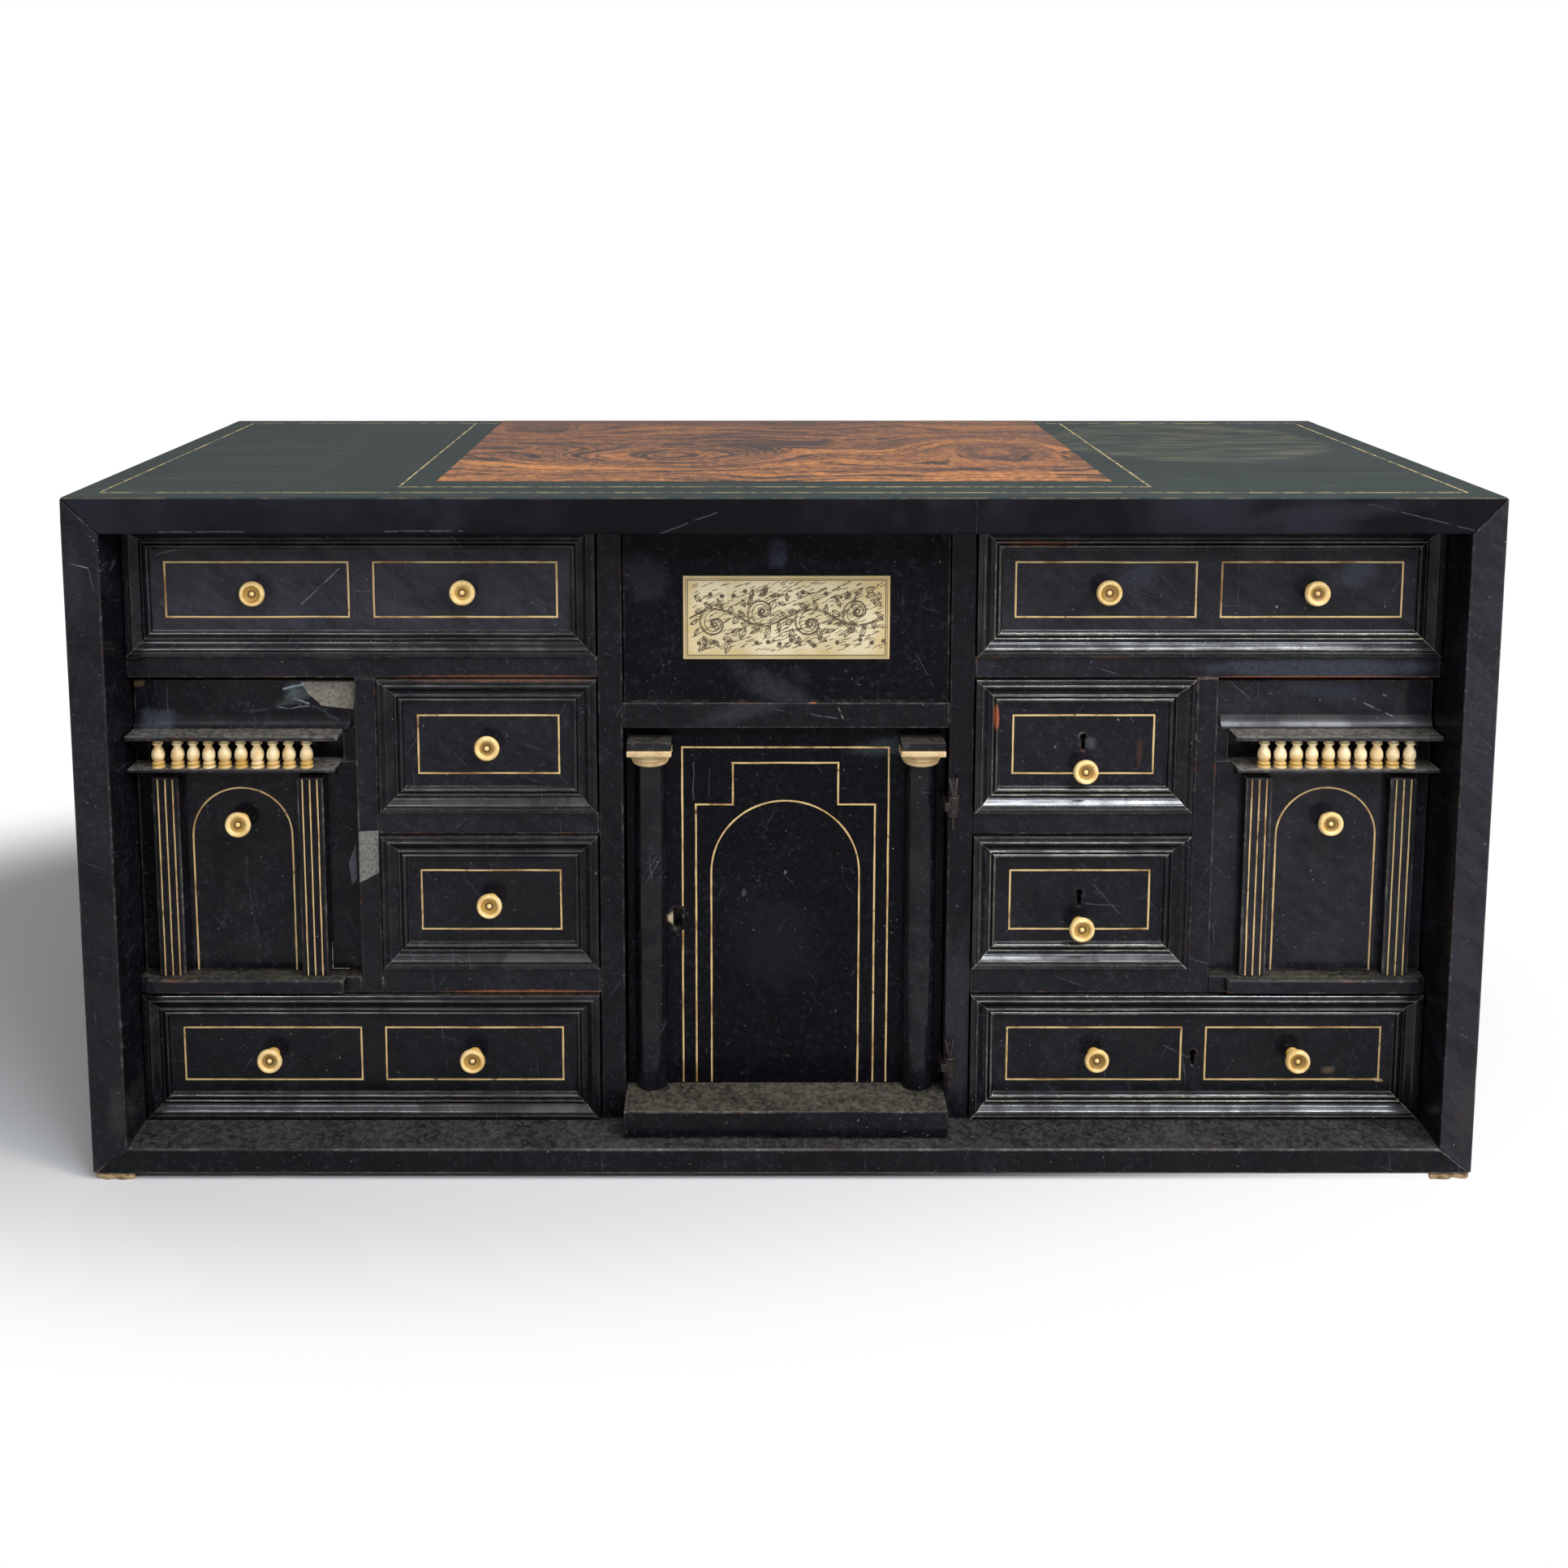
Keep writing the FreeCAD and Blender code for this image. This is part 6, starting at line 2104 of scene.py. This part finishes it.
    def ink(self, columns: int, rows: int) -> Array:
        """How deep the engraving is at each point of a grid: strokes counted and softened.

        Args:
            columns: Points across the grid.
            rows: Points up the grid.

        Returns:
            The depths, from 0 to 1.
        """
        places = np.vstack(self.strokes())
        column = (places[:, 0] / self.width + 0.5) * (columns - 1)
        row = (places[:, 1] / self.height + 0.5) * (rows - 1)
        hit = np.zeros((rows, columns))
        for dx in (0, 1):
            for dz in (0, 1):
                c, r = np.floor(column).astype(int) + dx, np.floor(row).astype(int) + dz
                weight = (1 - np.abs(column - c)) * (1 - np.abs(row - r))
                inside = (c >= 0) & (c < columns) & (r >= 0) & (r < rows)
                np.add.at(hit, (r[inside], c[inside]), weight[inside])
        return np.clip(hit * 0.66, 0, 1)


@dataclass
class Door:
    """The centre door: panel, half columns, capitals, inlaid lines and hinge eyes."""

    thick: float = 13.0 * MM
    relief: float = 2.4 * MM
    column_radius: float = 10.5 * MM
    line: float = 1.12 * MM
    outer_drop: float = 14.6 * MM
    shoulder_drop: float = 53.0 * MM
    step_drop: float = 25.0 * MM
    arch_drop: float = 50.4 * MM
    outer_width: float = 135.0 * MM
    shoulder_width: float = 117.5 * MM
    step_width: float = 69.5 * MM
    arch_radius: float = 48.8 * MM
    keyhole_offset: float = 70.5 * MM
    keyhole_drop: float = 4.6 * MM
    keyhole_radius: float = 3.7 * MM
    keyhole_length: float = 11.0 * MM
    block_half: float = 14.3 * MM
    slab_half: float = 14.4 * MM
    slab: float = 3.6 * MM
    column_inset: float = 15.5 * MM
    line_break: Pair = (12.0 * MM, 4.4 * MM)

    def build(self) -> None:
        """Build the whole door."""
        low, high = span("door_panel")
        self.face_y = high[1] - self.thick
        self.zs = (low[2], high[2])
        columns_low, columns_high = span("door_columns")
        self.centre = (columns_low[0] + columns_high[0]) / 2
        caps_low, caps_high = span("door_capitals")
        self.offset = (caps_high[0] - caps_low[0]) / 2 - self.column_inset
        self.panel(low, high)
        self.columns(caps_low[2])
        self.capitals(caps_low, caps_high)
        self.lines()

    def panel(self, low: Array, high: Array) -> None:
        """The door's board, with its keyhole, eased at the back of its closing edge.

        Args:
            low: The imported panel's lowest corner.
            high: Its highest corner.
        """
        x = self.centre - self.keyhole_offset
        z = sum(self.zs) / 2 - self.keyhole_drop
        grids = pierced_board(x, z, (low[0], high[0]), self.zs, self.face_y, high[1], self.keyhole_radius,
                              self.keyhole_radius * 0.82, self.keyhole_length, 5)
        for grid in grids:
            points = grid.points
            share = np.clip((points[..., 1] - self.face_y) / self.thick, 0, 1)
            near_edge = points[..., 0] < low[0] + 1.5 * MM
            points[..., 0] += near_edge * share * self.relief
        finish = Ebonised("black_door", grain=(110.0, 110.0, 7.0), dust=0.3, rub=0.5, browning=0.1, seed=17,
                          gloss=0.36, polish=0.05, hazy=0.3, base_shine=0.035, scars_and_sheens=SCARS_AND_SHEENS.get("door", ()))
        Shell().add(*grids).piece("door_board", "door", Slot.BLACK, finish.dress(), ("door_panel",), flat=True)

    def half_round(self, x: float, radii: Array, heights: Array, marks: Array | float,
                   ripple_by: float = 0.0) -> list[Grid]:
        """A turning cut in half: a full turning whose back half is pressed onto the door's face.

        Args:
            x: Its axis across.
            radii: The radius at each height.
            heights: The heights.
            marks: The mark at each height.
            ripple_by: How far its surface is uneven.

        Returns:
            Its grids.
        """
        profile = np.column_stack([radii, heights])
        grid = turned(profile, np.array([x, self.face_y + 0.2 * MM, 0.0]), UP, RIGHT, 44, marks)
        if ripple_by:
            grid.points[..., :2] += ripple_by * ripple(grid.points, 60 * MM, 3)[..., None]
        grid.points[..., 1] = np.minimum(grid.points[..., 1], self.face_y + 0.2 * MM)
        return [grid, grid.cap(0), grid.cap(-1)]

    def columns(self, top: float) -> None:
        """Two half columns, a little swollen at the middle, with a dark block over each capital.

        Args:
            top: Where the shafts end.
        """
        heights = np.linspace(self.zs[0], top, 40)
        share = (heights - heights[0]) / (heights[-1] - heights[0])
        radii = self.column_radius * (0.985 + 0.03 * np.sin(math.pi * share) - 0.02 * share)
        shell = Shell()
        low, high = span("door_columns")
        cap_top = span("door_capitals")[1][2]
        for side in (-1, 1):
            x = self.centre + side * self.offset
            shell.add(*self.half_round(x, radii, heights, 0.15, 0.08 * MM))
            half = self.block_half
            shell.add(*block((x - half, low[1] + 0.4 * MM, cap_top - 0.3 * MM),
                             (x + half, self.face_y + 0.5 * MM, high[2]), 0.9 * MM, 4 * MM, chip=0.5 * MM, seed=33))
        finish = Ebonised("black_columns", grain=(150.0, 150.0, 6.0), dust=0.75, rub=0.4, browning=0.1, seed=19,
                          gloss=0.3, polish=0.4)
        shell.piece("door_columns_turned", "door", Slot.BLACK, finish.dress(), ("door_columns",))

    def capitals(self, low: Array, high: Array) -> None:
        """Two pale capitals: a slab over a bowl of three beads that narrows to the shaft.

        Args:
            low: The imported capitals' lowest corner.
            high: Their highest corner.
        """
        slab = self.slab
        height = high[2] - low[2] - slab
        t = np.linspace(0, 1, 31)
        beads = 0.55 * MM * np.abs(np.sin(t * 3 * math.pi)) ** 0.8
        radii = self.column_radius * 0.98 + (4.0 * MM) * t**0.75 + beads
        marks = 0.55 * (1 - np.abs(np.sin(t * 3 * math.pi)) ** 0.5)
        shell = Shell()
        for side in (-1, 1):
            x = self.centre + side * self.offset
            heights = low[2] + t * height
            shell.add(*self.half_round(x, radii, heights, marks))
            grids = block((x - self.slab_half, low[1] + 0.6 * MM, high[2] - slab - 0.3 * MM),
                          (x + self.slab_half, self.face_y + 0.3 * MM, high[2]), 0.7 * MM, 2.0 * MM,
                          chip=0.9 * MM, seed=34)
            for grid in grids:
                upright = np.abs(grid.points[..., 2] - high[2] + slab * 0.55)
                grid.mark = 0.08 + 0.5 * np.clip(1 - upright / (0.7 * MM), 0, 1)
            shell.add(*grids)
        bone = TurnedBone("capital_bone", ivory=tone(212, 184, 140), mottle=tone(178, 140, 94), patchy=0.8)
        shell.piece("door_capitals_carved", "door", Slot.BONE, bone.dress(), ("door_capitals",))

    def lines(self) -> None:
        """Three nested lines: a plain frame, a stepped frame and an arch."""
        x, foot, head = self.centre, self.zs[0] + 0.4 * MM, self.zs[1]
        inset = self.line / 2
        half = self.outer_width / 2 - inset
        wide, slim = self.shoulder_width / 2 - inset, self.step_width / 2 - inset
        shoulder, step = head - self.shoulder_drop - inset, head - self.step_drop - inset
        top = head - self.outer_drop - inset
        hole = sum(self.zs) / 2 - self.keyhole_drop
        outlines = [
            [(x - half, foot), (x - half, hole - self.line_break[0])],
            [(x - half, hole + self.line_break[1]), (x - half, top), (x + half, top), (x + half, foot)],
            [(x - wide, foot), (x - wide, shoulder), (x - slim, shoulder), (x - slim, step), (x + slim, step),
             (x + slim, shoulder), (x + wide, shoulder), (x + wide, foot)],
        ]
        shell = Shell()
        for seed, outline in enumerate(outlines):
            path = filled(outline, 6 * MM, False)
            shell.add(*inlaid_line(path, False, self.line, self.face_y, Face.FRONT, seed + 80))
        radius = self.arch_radius - inset
        spring = head - self.arch_drop - self.arch_radius
        path = arched(x, radius, foot, spring, 6 * MM, 44)
        shell.add(*inlaid_line(path, False, self.line, self.face_y, Face.FRONT, 84))
        shell.piece("door_lines_inlay", "door", Slot.BONE, shared(LINE_BONE), ("door_lines",))


@dataclass
class Hinges:
    """Wrought staple hinges: a split pin on the partition and an eye on the door."""

    pin_radius: float = 1.25 * MM
    length: float = 28 * MM
    eye_half: float = 7.0 * MM
    eye_radius: float = 3.7 * MM
    bore: float = 1.45 * MM
    tip_gap: float = 3.2 * MM
    bend: float = 2.2 * MM

    def build(self) -> None:
        """Build both hinges' fixed and moving halves."""
        low, high = span("hinge_staples")
        joint = next(j for j in frame["joints"] if j["name"] == "door_hinge")
        x, y = joint["pos_m"][0], joint["pos_m"][1]
        heights = (low[2] + self.tip_gap + self.length / 2, high[2] - self.tip_gap - self.length / 2)
        back_y = span("right_partition")[0][1] + 6 * MM
        fixed, moving = Shell(), Shell()
        for height in heights:
            self.staple(fixed, x, y, height, back_y)
            self.eye(moving, x, y, height)
        iron = RUSTY.dress()
        fixed.piece("hinge_staples_forged", "case", Slot.IRON, iron, ("hinge_staples",))
        moving.piece("door_hinge_eyes_forged", "door", Slot.IRON, iron, ("door_hinge_eyes",))

    def staple(self, shell: Shell, x: float, y: float, height: float, back_y: float) -> None:
        """One staple: a pin bent back at both ends into the partition, with split tips above it.

        Args:
            shell: The shell that gathers it.
            x: The pin's place across.
            y: The pin's place in depth.
            height: Its middle.
            back_y: How deep its ends go.
        """
        half = self.length / 2
        bend = self.bend
        turn = np.linspace(0, math.pi / 2, 7)
        lower = np.column_stack([np.full(7, x), y + bend - bend * np.sin(turn),
                                 height - half - bend * np.cos(turn)])
        foot = np.array([[x + 0.5 * MM, back_y, height - half - bend]])
        upper = lower[::-1] * np.array([1, 1, -1]) + np.array([0, 0, 2 * height])
        head = foot * np.array([1, 1, -1]) + np.array([0, 0, 2 * height])
        path = np.vstack([foot, lower, upper, head])
        shell.add(*bent_rod(path, np.full(len(path), self.pin_radius)))
        for lean in (-2.6, 2.2):
            t = np.linspace(0, 1, 8)[:, None]
            tip = np.array([x + lean * MM, y - 0.2 * MM, height + half + 4.5 * MM])
            start = np.array([x + lean * 0.2 * MM, y - 1.5 * MM, height + self.eye_half + 0.8 * MM])
            tine = start + (tip - start) * t + np.array([0, -1.3 * MM, 0]) * np.sin(math.pi * t)
            shell.add(*bent_rod(tine, np.linspace(1.6, 0.8, 8) * MM, 8))

    def eye(self, shell: Shell, x: float, y: float, height: float) -> None:
        """One eye: a rounded collar round the pin with a strap into the door's edge.

        Args:
            shell: The shell that gathers it.
            x: The pin's place across.
            y: The pin's place in depth.
            height: Its middle.
        """
        bore, wall, half = self.bore, self.eye_radius, self.eye_half
        section = np.array([(bore, -half), (wall - 0.6 * MM, -half), (wall, -half + 0.7 * MM),
                            (wall, half - 0.7 * MM), (wall - 0.6 * MM, half), (bore, half)])
        ring = turned(section, np.array([x, y, height]), UP, RIGHT, 24, 0.5)
        ring.close_rows = True
        shell.add(ring)
        low, high = span("door_hinge_eyes")
        edge = low[0] + 2.3 * MM
        start = low[0] + 0.1 * MM
        shell.add(*block((start, y - 2.9 * MM, height - 2.8 * MM), (edge, high[1], height + 2.8 * MM), 0.6 * MM,
                         3 * MM, chip=0.4 * MM, seed=3))
        shell.add(*block((start, y - 3.0 * MM, height - 2.9 * MM),
                         (x - 1.5 * MM, y - 0.2 * MM, height + 2.9 * MM), 0.7 * MM, 3 * MM, seed=4))


@dataclass
class PackedNodes:
    """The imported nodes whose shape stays: they get their finish and softened arrises."""

    arris: float = 0.6 * MM

    def build(self) -> None:
        """Dress the boxes, the back and the locks."""
        lining = Weathered("drawer_lining", tone(150, 112, 72), tone(96, 64, 38), tone(48, 36, 28),
                           (60.0, 5.0, 60.0)).dress()
        back = Weathered("back_board", tone(112, 82, 54), tone(70, 48, 30), tone(40, 30, 24),
                         (5.0, 60.0, 60.0), 0.6).dress()
        iron = replace(RUSTY, name="lock_iron").dress()
        for name, node in frame["nodes"].items():
            if node.hide_render:
                continue
            if name.endswith("_box"):
                self.dress(node, lining)
            elif name.endswith("_lock"):
                self.dress(node, iron)
            else:
                self.dress(node, back)
                log.info("%s keeps its packed shape", name)

    def dress(self, node: bpy.types.Object, finish: Material) -> None:
        """Give a node its finish, weld its loose triangles and round its arrises.

        Args:
            node: The node's object.
            finish: Its material.
        """
        node.data.materials.clear()
        node.data.materials.append(finish)
        weld = node.modifiers.new("weld", "WELD")
        weld.merge_threshold = 0.01 * MM
        bevel = node.modifiers.new("arris", "BEVEL")
        bevel.width = self.arris
        bevel.segments = 2
        bevel.limit_method = "ANGLE"
        bevel.angle_limit = math.radians(40)


@dataclass
class Studio:
    """The pale floor, the soft lights, the world and the camera."""

    camera_x: float = -24.1 * MM
    camera_distance: float = 989.5 * MM
    camera_rise: float = 176.6 * MM
    tilt: float = 7.008
    lens: float = 38.025
    shift_x: float = 0.0253
    shift_y: float = -0.24
    ambient: float = 0.21
    floor_half: float = 6.0
    aim: Triple = (0.0, 0.0, 0.2)

    def build(self) -> None:
        """Build everything that isn't the object."""
        self.camera()
        self.world()
        self.floor()
        self.lights()

    def camera(self) -> None:
        """The camera at the photograph's viewing angle."""
        low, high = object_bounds()
        data = bpy.data.cameras.new("camera")
        data.lens = self.lens
        data.sensor_width = 36
        data.shift_x = self.shift_x
        data.shift_y = self.shift_y
        data.clip_start = 0.01
        camera = bpy.data.objects.new("camera", data)
        camera.location = (self.camera_x, low[1] - self.camera_distance, high[2] + self.camera_rise)
        camera.rotation_euler = (math.radians(90 - self.tilt), 0, 0)
        bpy.context.scene.collection.objects.link(camera)
        bpy.context.scene.camera = camera

    def world(self) -> None:
        """White to the camera and to reflections, and a soft grey light to everything else."""
        world = bpy.data.worlds.new("studio")
        bpy.context.scene.world = world
        sky = Nodes(world)
        soft = sky.node("ShaderNodeBackground", {}, {"Color": (0.93, 0.96, 1.0, 1), "Strength": self.ambient})
        white = sky.node("ShaderNodeBackground", {}, {"Color": (1, 1, 1, 1), "Strength": 1.0})
        sky.close(sky.node("ShaderNodeMixShader", {}, {0: sky.seen(), 1: soft, 2: white}), "ShaderNodeOutputWorld")

    def floor(self) -> None:
        """A pale floor that turns to plain white away from the object."""
        recipe = Recipe("pale_floor")
        shader = recipe.node("ShaderNodeBsdfPrincipled", {}, {
            "Base Color": (0.79, 0.77, 0.75, 1), "Roughness": 0.9, "Specular IOR Level": 0.1})
        white = recipe.node("ShaderNodeEmission", {}, {"Color": (1, 1, 1, 1), "Strength": 1.0})
        far = recipe.oval((-0.2, 0.12, 0), (0.9, 0.54, 1.0)).rise(0.6, 0.92) * recipe.seen()
        recipe.close(recipe.node("ShaderNodeMixShader", {}, {0: far, 1: shader, 2: white}))
        mesh = bpy.data.meshes.new("floor")
        half = self.floor_half
        mesh.from_pydata([(-half, -half, 0), (half, -half, 0), (half, half, 0), (-half, half, 0)], [], [(0, 1, 2, 3)])
        mesh.materials.append(recipe.material)
        floor = bpy.data.objects.new("floor", mesh)
        bpy.context.scene.collection.objects.link(floor)
        floor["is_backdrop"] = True

    def lights(self) -> None:
        """A broad key from the right, a soft box above the front and a weak fill from the left."""
        plans = {
            "key": ((1.5, -1.1, 1.55), (0.5, 0.5), 19.0, (1.0, 0.99, 0.97)),
            "above": ((0.5, -0.8, 1.5), (1.5, 0.065), 15.0, (0.9, 0.95, 1.0)),
            "window right": ((0.66, -1.3, 1.15), (0.7, 0.11), 9.0, (0.84, 0.91, 1.0)),
            "window left": ((-0.72, -1.3, 1.15), (0.5, 0.08), 3.6, (0.84, 0.91, 1.0)),
            "fill": ((-1.7, -1.2, 1.0), (0.8, 1.0), 2.0, (0.9, 0.95, 1.0)),
        }
        for name, (place, size, power, colour) in plans.items():
            data = bpy.data.lights.new(name, "AREA")
            data.shape = "RECTANGLE"
            data.size, data.size_y = size
            data.energy = power
            data.color = colour
            light = bpy.data.objects.new(name, data)
            light.location = place
            aim = np.subtract(self.aim, place)
            yaw = math.atan2(aim[0], -aim[1])
            pitch = math.atan2(math.hypot(aim[0], aim[1]), -aim[2])
            light.rotation_euler = (pitch, 0, math.pi + yaw)
            bpy.context.scene.collection.objects.link(light)


def drawers() -> list[MouldedDrawer | ArcadedDrawer | FriezeDrawer]:
    """Every drawer of the cabinet.

    Returns:
        The drawers, in the order that they are built.
    """
    made: list[MouldedDrawer | ArcadedDrawer | FriezeDrawer] = [FriezeDrawer()]
    for number, (side, sign) in enumerate((("left", -1), ("right", 1))):
        locked = sign > 0
        seed = 10 * number + 1
        made += [
            MouldedDrawer(f"top_{side}_drawer", True, False, seed),
            MouldedDrawer(f"bottom_{side}_drawer", True, locked, seed + 1),
            MouldedDrawer(f"upper_small_{side}_drawer", False, locked, seed + 2),
            MouldedDrawer(f"lower_small_{side}_drawer", False, locked, seed + 3),
            ArcadedDrawer(f"temple_{side}_drawer", sign, seed + 4),
        ]
    return made


def main() -> None:
    """Build the whole scene and note its size."""
    logging.basicConfig(level=logging.INFO, format="%(name)s: %(message)s")
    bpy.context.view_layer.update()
    bpy.context.scene.view_settings.view_transform = "Standard"
    Studio().build()
    Carcase().build()
    Top().build()
    for drawer in drawers():
        drawer.build()
    Door().build()
    Hinges().build()
    PackedNodes().build()


if __name__ == "__main__":
    main()
